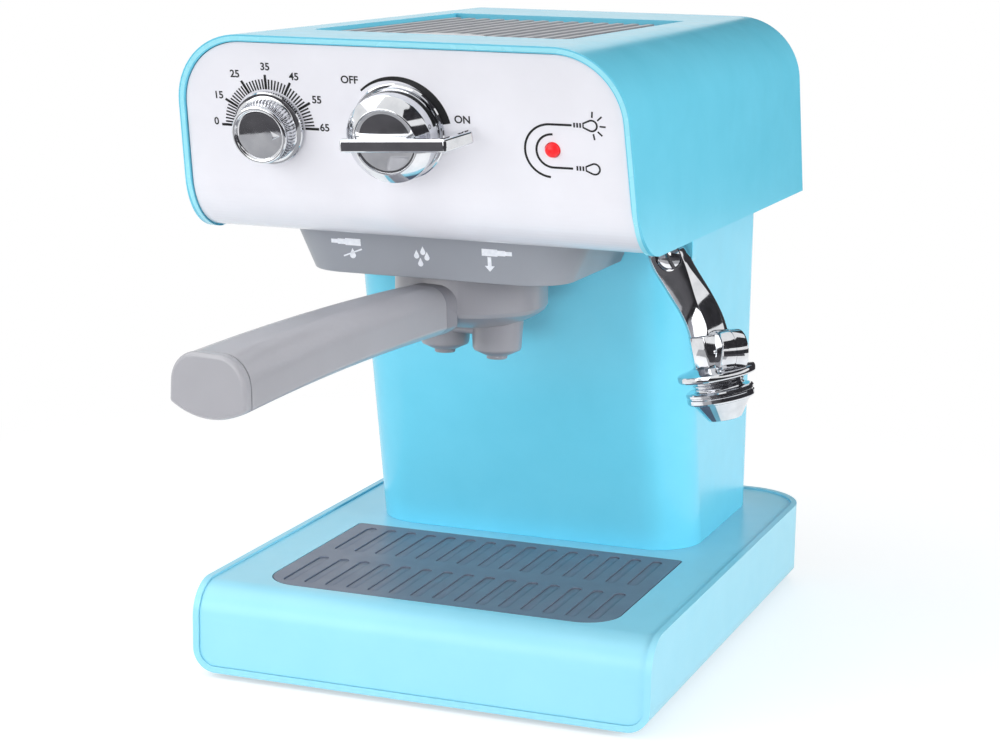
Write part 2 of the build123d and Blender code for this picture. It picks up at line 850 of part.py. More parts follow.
with BuildPart() as timer_spindle:
    with BuildSketch(control_plane(timer_x, -timer_drop, control_lift + spindle_grip)):
        Circle(spindle_radius)
    extrude(amount=-(control_lift + spindle_grip + wall + spindle_depth))

with BuildPart() as timer_body:
    with BuildSketch(control_plane(timer_x, -timer_drop, -wall)):
        Circle(timer_body_radius)
        Circle(spindle_radius + shaft_fit, mode=Mode.SUBTRACT)
    extrude(amount=-(spindle_depth + lift_gap))
    with BuildSketch(control_plane(timer_x, -timer_drop, -wall - spindle_depth - lift_gap)):
        Circle(timer_body_radius)
    extrude(amount=-wall)

# Lever switch: bezel on the panel, bevelled knob, lever bar across it, spindle and switch body
switch_low = bezel_thickness + control_lift
switch_bevel_z = switch_low + switch_rim_height
switch_face_z = switch_bevel_z + switch_bevel_height
with BuildPart() as switch_bezel:
    with BuildSketch(control_plane(switch_x, 0, 0)):
        Circle(bezel_radius)
        Circle(spindle_hole, mode=Mode.SUBTRACT)
    extrude(amount=bezel_thickness)
    fillet(switch_bezel.faces().sort_by(panel_axis)[-1].outer_wire().edges(), bezel_thickness / 2)

with BuildPart() as switch_knob:
    with BuildSketch(control_plane(switch_x, 0, switch_low)):
        Circle(switch_radius)
    extrude(amount=switch_rim_height)
    with BuildSketch(control_plane(switch_x, 0, switch_bevel_z)):
        Circle(switch_radius)
    with BuildSketch(control_plane(switch_x, 0, switch_face_z)):
        Circle(switch_face_radius)
    loft()
    with BuildSketch(control_plane(switch_x, 0, switch_low)):
        Circle(spindle_radius)
    extrude(amount=spindle_grip, mode=Mode.SUBTRACT)

# The lever is drawn in the plane that cuts the knob level, seen from above
lever_across = panel.x_dir * cos(radians(lever_turn)) + panel.y_dir * sin(radians(lever_turn))
lever_plane = Plane(
    origin=panel.from_local_coords((switch_x, 0, switch_face_z)),
    x_dir=lever_across,
    z_dir=lever_across.cross(panel.z_dir),
)
wing = atan2(lever_rise + lever_drop, lever_tip - lever_right)
with BuildPart() as switch_lever:
    with BuildSketch(lever_plane):
        with BuildLine():
            Polyline(
                (-lever_root, 0),
                (-lever_left, lever_rise - lever_thickness),
                (-lever_left, lever_rise),
                (lever_right, lever_rise),
                (lever_tip, -lever_drop),
                (lever_tip - lever_thickness * sin(wing), -lever_drop - lever_thickness * cos(wing)),
                (lever_right - lever_thickness * tan(wing / 2), lever_rise - lever_thickness),
                (lever_root, lever_rise - lever_thickness),
                (lever_root, 0),
                close=True,
            )
        make_face()
    extrude(amount=lever_height / 2, both=True)
    tip_edges = switch_lever.edges().filter_by(Axis(lever_plane.origin, lever_plane.z_dir))
    fillet(tip_edges.sort_by(Axis.X)[-2:], lever_thickness / 3)

with BuildPart() as switch_spindle:
    with BuildSketch(control_plane(switch_x, 0, switch_low + spindle_grip)):
        Circle(spindle_radius)
    extrude(amount=-(switch_low + spindle_grip + wall + spindle_depth))

with BuildPart() as switch_body:
    with BuildSketch(control_plane(switch_x, 0, -wall)):
        RectangleRounded(switch_body_width, switch_body_width, wall)
        Circle(spindle_radius + shaft_fit, mode=Mode.SUBTRACT)
    extrude(amount=-(spindle_depth + lift_gap))
    with BuildSketch(control_plane(switch_x, 0, -wall - spindle_depth - lift_gap)):
        RectangleRounded(switch_body_width, switch_body_width, wall)
    extrude(amount=-wall)

# Lamp in the panel and the small board behind it
with BuildPart() as led_lamp:
    with BuildSketch(control_plane(led_x, -led_drop, -wall)):
        Circle(led_radius + led_flange)
    extrude(amount=-led_flange)
    with BuildSketch(control_plane(led_x, -led_drop, -wall)):
        Circle(led_radius)
    extrude(amount=led_length - led_flange - led_radius)
    fillet(led_lamp.faces().sort_by(panel_axis)[-1].edges(), 0.9 * led_radius)

with BuildPart() as led_board:
    with BuildSketch(control_plane(led_x, -led_drop, -wall - led_flange)):
        RectangleRounded(led_board_width, led_board_width, led_flange)
    extrude(amount=-led_board_thickness)

# Pump on the deck inside the column
pump_low = deck_top
pump_top = pump_low + pump_height
cover_top = pump_top + pump_cover_thickness
chamber_low = pump_top - chamber_height
with BuildPart() as pump_housing:
    with BuildSketch(Plane.XY.offset(pump_low)):
        with Locations((0, pump_y)):
            Circle(pump_radius)
    extrude(amount=pump_height)
    with BuildSketch(Plane.XY.offset(chamber_low)):
        with Locations((0, pump_y)):
            Circle(chamber_radius)
    extrude(amount=chamber_height, mode=Mode.SUBTRACT)

with BuildPart() as pump_cover:
    with BuildSketch(Plane.XY.offset(pump_top)):
        with Locations((0, pump_y)):
            Circle(pump_radius)
            Circle(motor_shaft_radius + shaft_fit, mode=Mode.SUBTRACT)
    extrude(amount=pump_cover_thickness)
    with BuildSketch(Plane.XY.offset(cover_top)):
        with Locations(suction_spot, feed_spot):
            Circle(spigot_radius)
            Circle(spigot_bore, mode=Mode.SUBTRACT)
    extrude(amount=spigot_length)

with BuildPart() as pump_motor:
    with BuildSketch(Plane.XY.offset(cover_top)):
        with Locations((0, pump_y)):
            Circle(motor_radius)
    extrude(amount=motor_height)
    chamfer(pump_motor.faces().sort_by(Axis.Z)[-1].edges(), rim)
    with BuildSketch(Plane.XY.offset(cover_top)):
        with Locations((0, pump_y)):
            Circle(motor_shaft_radius + shaft_fit)
    extrude(amount=motor_shaft_grip + lift_gap, mode=Mode.SUBTRACT)

with BuildPart() as pump_impeller:
    with BuildSketch(Plane.XY.offset(chamber_low + run_gap)):
        with Locations((0, pump_y)):
            Circle(impeller_hub_radius)
            with PolarLocations(0, impeller_blades):
                with Locations(((chamber_radius - run_gap) / 2, 0)):
                    Rectangle(chamber_radius - run_gap - rim, blade_thickness)
    extrude(amount=chamber_height - 2 * run_gap)
    with BuildSketch(Plane.XY.offset(pump_top - run_gap)):
        with Locations((0, pump_y)):
            Circle(motor_shaft_radius)
    extrude(amount=run_gap + pump_cover_thickness + motor_shaft_grip)

with BuildPart() as suction_hose:
    with BuildSketch(Plane.XY.offset(cover_top)):
        with Locations(suction_spot):
            Circle(hose_radius)
            Circle(spigot_radius + shaft_fit, mode=Mode.SUBTRACT)
    extrude(amount=tank_low - cover_top)

# Feed hose: up the column, then forward over the head floor to the elbow above the group
feed_z = floor_top + feed_rise
elbow_back_y = group_y + elbow_depth / 2
with BuildPart() as feed_hose:
    with BuildLine() as feed_path:
        FilletPolyline(
            (feed_spot[0], feed_spot[1], cover_top),
            (feed_spot[0], feed_spot[1], feed_z),
            (feed_spot[0], elbow_back_y, feed_z),
            radius=hose_bend_radius,
        )
    with BuildSketch(Plane.XY.offset(cover_top)):
        with Locations(feed_spot):
            Circle(hose_radius)
            Circle(spigot_radius + shaft_fit, mode=Mode.SUBTRACT)
    sweep(path=feed_path.line)

with BuildPart() as inlet_elbow:
    with BuildSketch(Plane.XY.offset(floor_top)):
        with Locations(elbow_spot):
            RectangleRounded(elbow_width, elbow_depth, wall)
    extrude(amount=feed_rise + hose_radius + wall)
    with BuildSketch(Plane.XZ.offset(-elbow_back_y)):
        with Locations((elbow_spot[0], feed_z)):
            Circle(spigot_radius)
    extrude(amount=-spigot_length)
    with BuildSketch(Plane.XZ.offset(-elbow_back_y - spigot_length)):
        with Locations((elbow_spot[0], feed_z)):
            Circle(spigot_bore)
    extrude(amount=spigot_length + elbow_depth / 2 + spigot_bore, mode=Mode.SUBTRACT)
    with BuildSketch(Plane.XY.offset(floor_top)):
        with Locations(elbow_spot):
            Circle(spigot_bore)
    extrude(amount=feed_rise + spigot_bore, mode=Mode.SUBTRACT)

# Group under the head: flared skirt, bayonet plate, shower disc and gasket
skirt_low = floor_low - skirt_height
skirt_back_y = column_front_y
skirt_plate_top = skirt_low + wall
bayonet_top = skirt_plate_top + bayonet_thickness
disc_low = floor_low - shower_thickness
gasket_low = disc_low - gasket_thickness
basket_top = gasket_low - run_gap
basket_wall_low = basket_top - basket_height
basket_low = basket_wall_low - basket_taper
ear_low = bayonet_top + run_gap
ear_radius = group_radius + ear_reach


def skirt_outline(share, inset):
    """Plan of the skirt at a share of its height, moved in by inset."""
    half = skirt_low_width / 2 + skirt_flare * share - inset
    front = group_y - skirt_front - skirt_front_flare * share + inset
    corner = skirt_radius + (skirt_top_radius - skirt_radius) * share - inset
    with BuildSketch(Plane.XY.offset(skirt_low + skirt_height * share)) as outline:
        with BuildLine():
            Polyline(
                (half - skirt_shift, front),
                (half - skirt_shift, skirt_back_y),
                (-half - skirt_shift, skirt_back_y),
                (-half - skirt_shift, front),
                close=True,
            )
        make_face()
        fillet(outline.vertices().group_by(Axis.Y)[0], corner)
    return outline.sketch


with BuildPart() as group_skirt:
    loft([skirt_outline(0, 0), skirt_outline(1, 0)])
    loft([skirt_outline(wall / skirt_height, wall), skirt_outline(1, wall)], mode=Mode.SUBTRACT)
    add(column_block(-seam, wall), mode=Mode.SUBTRACT)
    with BuildSketch(Plane.XY.offset(skirt_low)):
        with Locations((0, group_y)):
            Circle(group_radius + 3 * bayonet_gap)
    extrude(amount=wall, mode=Mode.SUBTRACT)

with BuildPart() as bayonet_plate:
    extrude(skirt_outline(wall / skirt_height, wall + seam), amount=bayonet_thickness)
    add(column_block(-seam, wall), mode=Mode.SUBTRACT)
    with BuildSketch(Plane.XY.offset(skirt_plate_top)):
        with Locations((0, group_y)):
            Circle(group_radius + bayonet_gap)
            with PolarLocations(0, 2, start_angle=remove_turn - handle_turn):
                with Locations((ear_radius / 2, 0)):
                    Rectangle(ear_radius + 2 * bayonet_gap, ear_width + 2 * bayonet_gap)
    extrude(amount=bayonet_thickness, mode=Mode.SUBTRACT)

with BuildPart() as shower_disc:
    with BuildSketch(Plane.XY.offset(disc_low)):
        with Locations((0, group_y)):
            Circle(group_radius)
            with PolarLocations(group_radius / 2, shower_holes):
                Circle(shower_hole_radius, mode=Mode.SUBTRACT)
    extrude(amount=shower_thickness)

with BuildPart() as group_gasket:
    with BuildSketch(Plane.XY.offset(gasket_low)):
        with Locations((0, group_y)):
            Circle(group_radius)
            Circle(group_radius - gasket_width, mode=Mode.SUBTRACT)
    extrude(amount=gasket_thickness)

# Portafilter, turned a little to the left of straight ahead
turn = radians(handle_turn)
group = Plane(origin=(0, group_y, 0), x_dir=(cos(turn), -sin(turn), 0), z_dir=(0, 0, 1))
group_section = Plane(origin=group.origin, x_dir=group.x_dir, z_dir=-group.y_dir)
group_axis = Axis(group.origin, (0, 0, 1))
handle_axis = Axis(group.origin, -group.y_dir)
neck_out = group_radius + neck_reach
neck_z = basket_top - neck_drop
spout_spots = [(side * spout_spacing / 2, 0) for side in (-1, 1)]


def handle_plane(share):
    """Upright plane across the handle at a share of its length from the neck."""
    place = (0, -neck_out - handle_length * share, neck_z - handle_droop * share**2)
    return Plane(origin=group.from_local_coords(place), x_dir=group.x_dir, z_dir=-group.y_dir)


def handle_outline(share, inset):
    """Section of the handle: flatter top, full sides and a slightly rounded belly."""
    half = (handle_neck_width + (handle_end_width - handle_neck_width) * share) / 2 - inset
    half_height = (handle_neck_height + (handle_end_height - handle_neck_height) * share) / 2 - inset
    top_half = half * handle_top_share
    corner = handle_neck_radius + (handle_end_radius - handle_neck_radius) * share - inset
    with BuildSketch(handle_plane(share)) as outline:
        with BuildLine():
            Polyline(
                (half, handle_belly - half_height),
                (top_half, half_height),
                (-top_half, half_height),
                (-half, handle_belly - half_height),
            )
            ThreePointArc(
                (-half, handle_belly - half_height), (0, -half_height), (half, handle_belly - half_height)
            )
        make_face()
        fillet(outline.vertices().group_by(Axis.Y)[-1], corner)
        fillet(outline.vertices().group_by(Axis.Y)[0], handle_low_radius)
    return outline.sketch


def handle_loft(first):
    """Shares along the handle from first to its end."""
    return [first + (1 - first) * i / (handle_sections - 1) for i in range(handle_sections)]


basket_inner = group_radius - wall
with BuildPart() as filter_body:
    with BuildSketch(group_section):
        with BuildLine():
            Polyline(
                (0, basket_low),
                (basket_foot_radius, basket_low),
                (group_radius, basket_wall_low),
                (group_radius, basket_top),
                (0, basket_top),
                close=True,
            )
        make_face()
    revolve(axis=group_axis)
    extrude(handle_outline(0, 0), amount=-(neck_out - basket_inner / 2))
    with BuildSketch(group.offset(ear_low)):
        Circle(ear_radius)
        Rectangle(2 * ear_radius, ear_width, mode=Mode.INTERSECT)
    extrude(amount=ear_thickness)
    with BuildSketch(group_section):
        with BuildLine():
            Polyline(
                (0, basket_low + wall),
                (basket_foot_radius - wall / 2, basket_low + wall),
                (basket_inner, basket_wall_low + wall / 2),
                (basket_inner, basket_top),
                (0, basket_top),
                close=True,
            )
        make_face()
    revolve(axis=group_axis, mode=Mode.SUBTRACT)
    with BuildSketch(group.offset(basket_low)):
        with Locations(*spout_spots):
            Circle(spout_bore)
    extrude(amount=wall, mode=Mode.SUBTRACT)

spout_root_z = basket_low - spout_root_height
spout_barrel_z = spout_root_z - spout_barrel_height
spout_barrel_radius = spout_root_radius - spout_step
spout_cone_z = spout_barrel_z - spout_cone_height
spout_tip_z = spout_cone_z - spout_tip_height
with BuildPart() as spout_manifold:
    with BuildSketch(group.offset(spout_root_z)):
        SlotCenterToCenter(spout_spacing, 2 * spout_root_radius)
    extrude(amount=spout_root_height)
    with BuildSketch(group.offset(spout_barrel_z)):
        with Locations(*spout_spots):
            Circle(spout_barrel_radius)
    extrude(amount=spout_barrel_height)
    for spot in spout_spots:
        with BuildSketch(group.offset(spout_barrel_z)):
            with Locations(spot):
                Circle(spout_barrel_radius)
        with BuildSketch(group.offset(spout_cone_z)):
            with Locations(spot):
                Circle(spout_tip_radius + rim)
        loft()
    with BuildSketch(group.offset(spout_tip_z)):
        with Locations(*spout_spots):
            Circle(spout_tip_radius)
    extrude(amount=spout_tip_height)
    with BuildSketch(group.offset(spout_tip_z)):
        with Locations(*spout_spots):
            Circle(spout_bore)
    extrude(amount=basket_low - spout_tip_z, mode=Mode.SUBTRACT)

with BuildPart() as handle_bar:
    loft([handle_outline(share, 0) for share in handle_loft(0)])
    hollow = handle_loft(handle_wall / handle_length)
    loft([handle_outline(share, handle_wall) for share in hollow], mode=Mode.SUBTRACT)

with BuildPart() as handle_cap:
    extrude(handle_outline(1, 0), amount=handle_cap_thickness)
    fillet(handle_cap.faces().sort_by(handle_axis)[-1].edges(), handle_cap_edge)

# Steam wand: arm on a pivot screw, block with a side barrel, nut and tip
wand_y = column_front_y - wand_forward
wand_z = floor_low - wand_drop
wand_front_y = wand_y - wand_thickness / 2
wand_back_y = wand_y + wand_thickness / 2
wand_plane = Plane.XZ.offset(-wand_y)
tilt = radians(nozzle_tilt)
bend = radians(wand_bend)
knuckle_x = wand_x + wand_upper_radius * (1 - cos(bend)) + wand_lower_radius * (cos(tilt) - cos(bend))
knuckle_z = wand_z - wand_upper_radius * sin(bend) - wand_lower_radius * (sin(bend) - sin(tilt))
nozzle_dir = Vector(sin(tilt), 0, -cos(tilt))
nozzle = Plane(origin=(knuckle_x, wand_y, knuckle_z), x_dir=(cos(tilt), 0, sin(tilt)), z_dir=nozzle_dir)
nozzle_axis = Axis(nozzle.origin, nozzle_dir)
barrel_dir = nozzle.x_dir * cos(radians(barrel_turn)) - nozzle.y_dir * sin(radians(barrel_turn))
barrel_axis = Axis(nozzle.origin, barrel_dir)
barrel_along = barrel_drop + barrel_radius / 2
barrel_place = nozzle.from_local_coords((barrel_start, 0, barrel_along))
flange_z = nozzle_block_height
neck_z_along = flange_z + nozzle_flange_height
nut_z = neck_z_along + nozzle_neck_height
cone_z = nut_z + nozzle_nut_height
tip_z = cone_z + nozzle_tip_height

with BuildPart() as wand_arm:
    with BuildSketch(wand_plane):
        with BuildLine():
            upper = JernArc((wand_x, wand_z), (0, -1), wand_upper_radius, wand_bend)
            JernArc(upper @ 1, upper % 1, wand_lower_radius, nozzle_tilt - wand_bend)
        trace(line_width=wand_width)
        with Locations((wand_x, wand_z)):
            Circle(wand_eye_radius)
    extrude(amount=wand_thickness / 2, both=True)
    chamfer(wand_arm.faces().filter_by(Axis.Y).edges(), wand_edge)
    with BuildSketch(wand_plane):
        with Locations((wand_x, wand_z)):
            Circle(wand_bore_radius + shaft_fit)
    extrude(amount=wand_thickness, both=True, mode=Mode.SUBTRACT)
    with BuildSketch(nozzle):
        Circle(reach)
    extrude(amount=reach, mode=Mode.SUBTRACT)

with BuildPart() as side_barrel:
    with BuildSketch(Plane(barrel_place, z_dir=barrel_dir)):
        Circle(barrel_radius)
    extrude(amount=barrel_length)
    chamfer(side_barrel.faces().sort_by(barrel_axis)[-1].edges(), rim)

with BuildPart() as wand_nozzle:
    with BuildSketch(nozzle):
        Circle(nozzle_block_radius)
    extrude(amount=nozzle_block_height)
    with BuildSketch(nozzle.offset(flange_z)):
        Circle(nozzle_flange_radius)
    extrude(amount=nozzle_flange_height)
    chamfer(wand_nozzle.faces().sort_by(nozzle_axis)[-1].edges(), rim)
    add(side_barrel.part)

with BuildPart() as wand_tip:
    with BuildSketch(nozzle.offset(neck_z_along)):
        Circle(nozzle_neck_radius)
    extrude(amount=nozzle_neck_height)
    with BuildSketch(nozzle.offset(nut_z)):
        Circle(nozzle_nut_radius)
    extrude(amount=nozzle_nut_height)
    with BuildSketch(nozzle.offset(cone_z)):
        Circle(nozzle_nut_radius - wand_edge)
    with BuildSketch(nozzle.offset(tip_z)):
        Circle(nozzle_tip_radius)
    loft()
    with BuildSketch(nozzle.offset(tip_z)):
        Circle(spout_bore)
    extrude(amount=-nozzle_tip_height, mode=Mode.SUBTRACT)

bracket_front_y = wand_back_y + run_gap
with BuildPart() as wand_bracket:
    with BuildSketch(Plane.XZ.offset(-bracket_front_y)):
        with Locations((wand_x, wand_z)):
            Circle(bracket_width / 2)
        with Locations((wand_x, (wand_z + floor_low) / 2)):
            Rectangle(bracket_width, floor_low - wand_z)
        with Locations((wand_x, wand_z)):
            Circle(wand_bore_radius, mode=Mode.SUBTRACT)
    extrude(amount=-bracket_depth)

with BuildPart() as wand_screw:
    with BuildSketch(Plane.XZ.offset(-wand_front_y + lift_gap)):
        with Locations((wand_x, wand_z)):
            Circle(wand_screw_head_radius)
    extrude(amount=wand_screw_head_height)
    fillet(wand_screw.faces().sort_by(Axis.Y)[0].edges(), wand_screw_head_height / 2)
    with BuildSketch(Plane.XZ.offset(-wand_front_y + lift_gap)):
        with Locations((wand_x, wand_z)):
            Circle(wand_bore_radius)
    extrude(amount=-(lift_gap + wand_thickness + run_gap + bracket_depth))

pieces = {
    "base_tub": base_tub,
    "base_deck": base_deck,
    "rubber_feet": rubber_feet,
    "base_screws": base_screws,
    "drip_tray": drip_tray,
    "battery_box": battery_box,
    "battery_cells": battery_cells,
    "battery_contacts": battery_contacts,
    "battery_door": battery_door,
    "door_screw": door_screw,
    "column_shell": column_shell,
    "back_cover": back_cover,
    "cover_screws": cover_screws,
    "head_shell": head_shell,
    "head_floor": head_floor,
    "head_screws": head_screws,
    "front_panel": front_panel,
    "water_tank": water_tank,
    "tank_lid": tank_lid,
    "timer_knob": timer_knob,
    "timer_spindle": timer_spindle,
    "timer_body": timer_body,
    "switch_bezel": switch_bezel,
    "switch_knob": switch_knob,
    "switch_lever": switch_lever,
    "switch_spindle": switch_spindle,
    "switch_body": switch_body,
    "led_lamp": led_lamp,
    "led_board": led_board,
    "pump_housing": pump_housing,
    "pump_cover": pump_cover,
    "pump_motor": pump_motor,
    "pump_impeller": pump_impeller,
    "suction_hose": suction_hose,
    "feed_hose": feed_hose,
    "inlet_elbow": inlet_elbow,
    "group_skirt": group_skirt,
    "bayonet_plate": bayonet_plate,
    "shower_disc": shower_disc,
    "group_gasket": group_gasket,
    "filter_body": filter_body,
    "spout_manifold": spout_manifold,
    "handle_bar": handle_bar,
    "handle_cap": handle_cap,
    "wand_arm": wand_arm,
    "wand_nozzle": wand_nozzle,
    "wand_tip": wand_tip,
    "wand_bracket": wand_bracket,
    "wand_screw": wand_screw,
}
for name, piece in pieces.items():
    piece.part.label = name
    export_step(piece.part, f"parts/{name}.step")
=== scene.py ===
import json
from math import cos, pi, radians, sin

import bmesh
import bpy
from mathutils import Matrix, Vector
from mathutils.geometry import convex_hull_2d


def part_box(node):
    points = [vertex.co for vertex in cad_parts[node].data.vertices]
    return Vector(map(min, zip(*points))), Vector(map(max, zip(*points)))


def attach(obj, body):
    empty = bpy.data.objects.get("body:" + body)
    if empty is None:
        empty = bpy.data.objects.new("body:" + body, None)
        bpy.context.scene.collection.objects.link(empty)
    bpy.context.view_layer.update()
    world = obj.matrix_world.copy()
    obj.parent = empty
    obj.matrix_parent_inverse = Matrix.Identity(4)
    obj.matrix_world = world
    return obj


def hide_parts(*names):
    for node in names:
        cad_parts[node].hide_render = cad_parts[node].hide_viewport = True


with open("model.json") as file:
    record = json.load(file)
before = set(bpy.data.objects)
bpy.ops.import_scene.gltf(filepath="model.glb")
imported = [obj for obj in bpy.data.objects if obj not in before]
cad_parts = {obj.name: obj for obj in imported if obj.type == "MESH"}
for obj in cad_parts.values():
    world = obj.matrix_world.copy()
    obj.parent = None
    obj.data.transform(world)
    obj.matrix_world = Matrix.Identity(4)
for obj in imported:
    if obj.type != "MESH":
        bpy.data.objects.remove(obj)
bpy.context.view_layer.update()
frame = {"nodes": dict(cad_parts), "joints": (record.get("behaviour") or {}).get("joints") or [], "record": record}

# Looks of the toy espresso machine. Sizes are in millimetres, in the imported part's frame.
MM = 0.001
record = frame["record"]
joints = {joint["name"]: joint for joint in frame["joints"]}
body_of = {node: body for body, nodes in record["behaviour"]["bodies"].items() for node in nodes}
slot_of = {part["node"]: part["material_slot"] for part in record["subparts"]}


def joint_spot(name):
    """Point on a joint's axis."""
    return Vector(joints[name]["pos_m"]) / MM


def place_on(origin, across, up):
    """Place of a plane with its own across, up and outward directions."""
    matrix = Matrix((across, up, across.cross(up))).transposed().to_4x4()
    matrix.translation = origin
    return matrix


# Front panel, measured from the middle of the lever switch
panel_out = Vector(joints["switch_turn"]["axis"])
panel_across = Vector((1, 0, 0))
panel_up = panel_out.cross(panel_across)
panel_place = place_on(joint_spot("switch_turn"), panel_across, panel_up)
timer_place = place_on(joint_spot("timer_turn"), panel_across, panel_up)
lamp_spot = (55.2, -3.7)

# Front of the skirt under the head, measured from its middle
skirt_front_spot = Vector((0, -97.5, 162.8))
skirt_up = Vector((0, -0.1843, 0.9829))
skirt_place = place_on(skirt_front_spot, panel_across, skirt_up)

# Printed signs
ink_thickness = 0.08
digit_height = 2.55
letter_swell = 0.07
sign_line = 0.75

# Stretch of a cloudy pattern over which a finish changes
pattern_low, pattern_high = 0.3, 0.7


def linear(value):
    """Light level of a screen value from 0 to 255."""
    share = value / 255
    if share <= 0.04045:
        return share / 12.92
    return ((share + 0.055) / 1.055) ** 2.4


def colour(red, green, blue):
    """Colour from screen values."""
    return (linear(red), linear(green), linear(blue), 1.0)


class Finish:
    """A material under construction, with the nodes that vary it over a surface."""

    def __init__(self, name, rough, metal=0.0):
        self.material = bpy.data.materials.new(name)
        self.material.use_nodes = True
        self.nodes = self.material.node_tree.nodes
        self.links = self.material.node_tree.links
        self.shader = self.nodes["Principled BSDF"]
        self.shader.inputs["Roughness"].default_value = rough
        self.shader.inputs["Metallic"].default_value = metal
        self.place = self.nodes.new("ShaderNodeTexCoord").outputs["Object"]

    def set(self, socket, value):
        """Constant value of one of the shader's inputs."""
        self.shader.inputs[socket].default_value = value

    def noise(self, patch, detail=3.0):
        """Cloudy pattern with patches of a size in millimetres."""
        node = self.nodes.new("ShaderNodeTexNoise")
        node.inputs["Scale"].default_value = 1 / (patch * MM)
        node.inputs["Detail"].default_value = detail
        self.links.new(self.place, node.inputs["Vector"])
        return node.outputs["Fac"]

    def paint(self, pattern, dark, light):
        """Base colour that goes from dark to light with a pattern."""
        ramp = self.nodes.new("ShaderNodeValToRGB")
        ramp.color_ramp.elements[0].position = pattern_low
        ramp.color_ramp.elements[1].position = pattern_high
        ramp.color_ramp.elements[0].color = dark
        ramp.color_ramp.elements[1].color = light
        self.links.new(pattern, ramp.inputs["Fac"])
        self.links.new(ramp.outputs["Color"], self.shader.inputs["Base Color"])

    def polish(self, pattern, smooth, rough):
        """Roughness that follows a pattern."""
        span = self.nodes.new("ShaderNodeMapRange")
        span.inputs["From Min"].default_value = pattern_low
        span.inputs["From Max"].default_value = pattern_high
        span.inputs["To Min"].default_value = smooth
        span.inputs["To Max"].default_value = rough
        self.links.new(pattern, span.inputs["Value"])
        self.links.new(span.outputs["Result"], self.shader.inputs["Roughness"])

    def relief(self, pattern, depth):
        """Fine unevenness of a depth in millimetres."""
        bump = self.nodes.new("ShaderNodeBump")
        bump.inputs["Strength"].default_value = 1.0
        bump.inputs["Distance"].default_value = depth * MM
        self.links.new(pattern, bump.inputs["Height"])
        self.links.new(bump.outputs["Normal"], self.shader.inputs["Normal"])


def moulded(name, dark, light, smooth, rough, grain, depth, gloss=0.0):
    """Moulded plastic: clouded pigment, uneven gloss and the fine skin of the mould."""
    coat_index, coat_rough = 1.6, 0.2
    finish = Finish(name, rough)
    finish.paint(finish.noise(patch=22.0, detail=4.0), dark, light)
    finish.polish(finish.noise(patch=9.0, detail=5.0), smooth, rough)
    finish.relief(finish.noise(patch=grain, detail=2.0), depth)
    finish.set("Coat Weight", gloss)
    finish.set("Coat IOR", coat_index)
    finish.set("Coat Roughness", coat_rough)
    return finish.material


def plated_finish():
    """Vacuum plating over moulded plastic: a mirror with faint ripples and haze."""
    finish = Finish("plated", rough=0.06, metal=1.0)
    finish.paint(finish.noise(patch=6.0), colour(214, 216, 220), colour(232, 233, 236))
    finish.polish(finish.noise(patch=3.5, detail=5.0), smooth=0.035, rough=0.09)
    finish.relief(finish.noise(patch=5.0, detail=1.0), depth=0.012)
    return finish.material


def lamp_finish():
    """Red lamp cap, lit from inside."""
    glow = 0.25
    finish = Finish("lamp_red", rough=0.3)
    finish.paint(finish.noise(patch=1.4), colour(224, 16, 26), colour(246, 40, 44))
    finish.relief(finish.noise(patch=0.8), depth=0.02)
    finish.set("Emission Color", colour(255, 20, 28))
    finish.set("Emission Strength", glow)
    return finish.material


def ink_finish(name, dark, light):
    """Pad-printed ink with a slightly uneven film."""
    finish = Finish(name, rough=0.45)
    finish.paint(finish.noise(patch=1.2, detail=4.0), dark, light)
    finish.polish(finish.noise(patch=0.9), smooth=0.38, rough=0.52)
    finish.relief(finish.noise(patch=0.5), depth=0.01)
    return finish.material


def metal_finish(name, dark, light, smooth, rough, patch):
    """Plain metal with a worked surface."""
    finish = Finish(name, rough, metal=1.0)
    finish.paint(finish.noise(patch), dark, light)
    finish.polish(finish.noise(patch / 3, detail=5.0), smooth, rough)
    finish.relief(finish.noise(patch / 6), depth=0.03)
    return finish.material


def clear_finish():
    """Clear moulded tank plastic."""
    clearness, index = 0.85, 1.49
    finish = Finish("tank_clear", rough=0.1)
    finish.paint(finish.noise(patch=18.0), colour(222, 236, 243), colour(236, 246, 250))
    finish.polish(finish.noise(patch=6.0), smooth=0.05, rough=0.14)
    finish.relief(finish.noise(patch=2.0), depth=0.02)
    finish.set("Transmission Weight", clearness)
    finish.set("IOR", index)
    return finish.material


# Moulded plastics: dark and light shade, least and most roughness, grain, its depth and gloss
plastics = {
    "blue_shell": ((108, 206, 233), (113, 210, 237), 0.2, 0.27, 0.7, 0.008),
    # Painted light: the base's paler blue is the shell's plastic drawn brighter for the light and sheen on the
    # base
    "blue_base": ((146, 214, 234), (150, 217, 237), 0.3, 0.36, 0.7, 0.006),
    # Painted highlight: paler blue for the bright edge light on the head's rim, which is the shell's plastic
    "blue_rim": ((158, 232, 248), (162, 235, 251), 0.24, 0.3, 0.7, 0.006),
    "white_panel": ((236, 236, 243), (241, 241, 248), 0.16, 0.22, 0.6, 0.006),
    "skirt_grey": ((146, 150, 158), (149, 153, 161), 0.34, 0.38, 0.8, 0.003),
    "handle_grey": ((160, 160, 166), (164, 164, 170), 0.3, 0.34, 0.8, 0.004, 0.4),
    # Painted shade: the handle's grey darkened for the shade under the skirt on the filter and its spouts
    "filter_grey": ((136, 136, 143), (140, 140, 147), 0.3, 0.34, 0.8, 0.004, 0.4),
    "tray_grey": ((102, 110, 127), (108, 116, 133), 0.4, 0.48, 0.6, 0.01),
    "lid_grey": ((152, 154, 160), (158, 160, 166), 0.3, 0.4, 0.6, 0.01),
    "lid_pale": ((190, 194, 201), (195, 199, 206), 0.26, 0.34, 0.6, 0.006),
    "inner_plastic": ((58, 60, 64), (72, 74, 78), 0.42, 0.56, 0.8, 0.02),
    "rubber": ((70, 70, 74), (84, 84, 88), 0.62, 0.78, 0.35, 0.04),
    "board": ((32, 92, 58), (44, 110, 70), 0.4, 0.55, 1.2, 0.03),
}
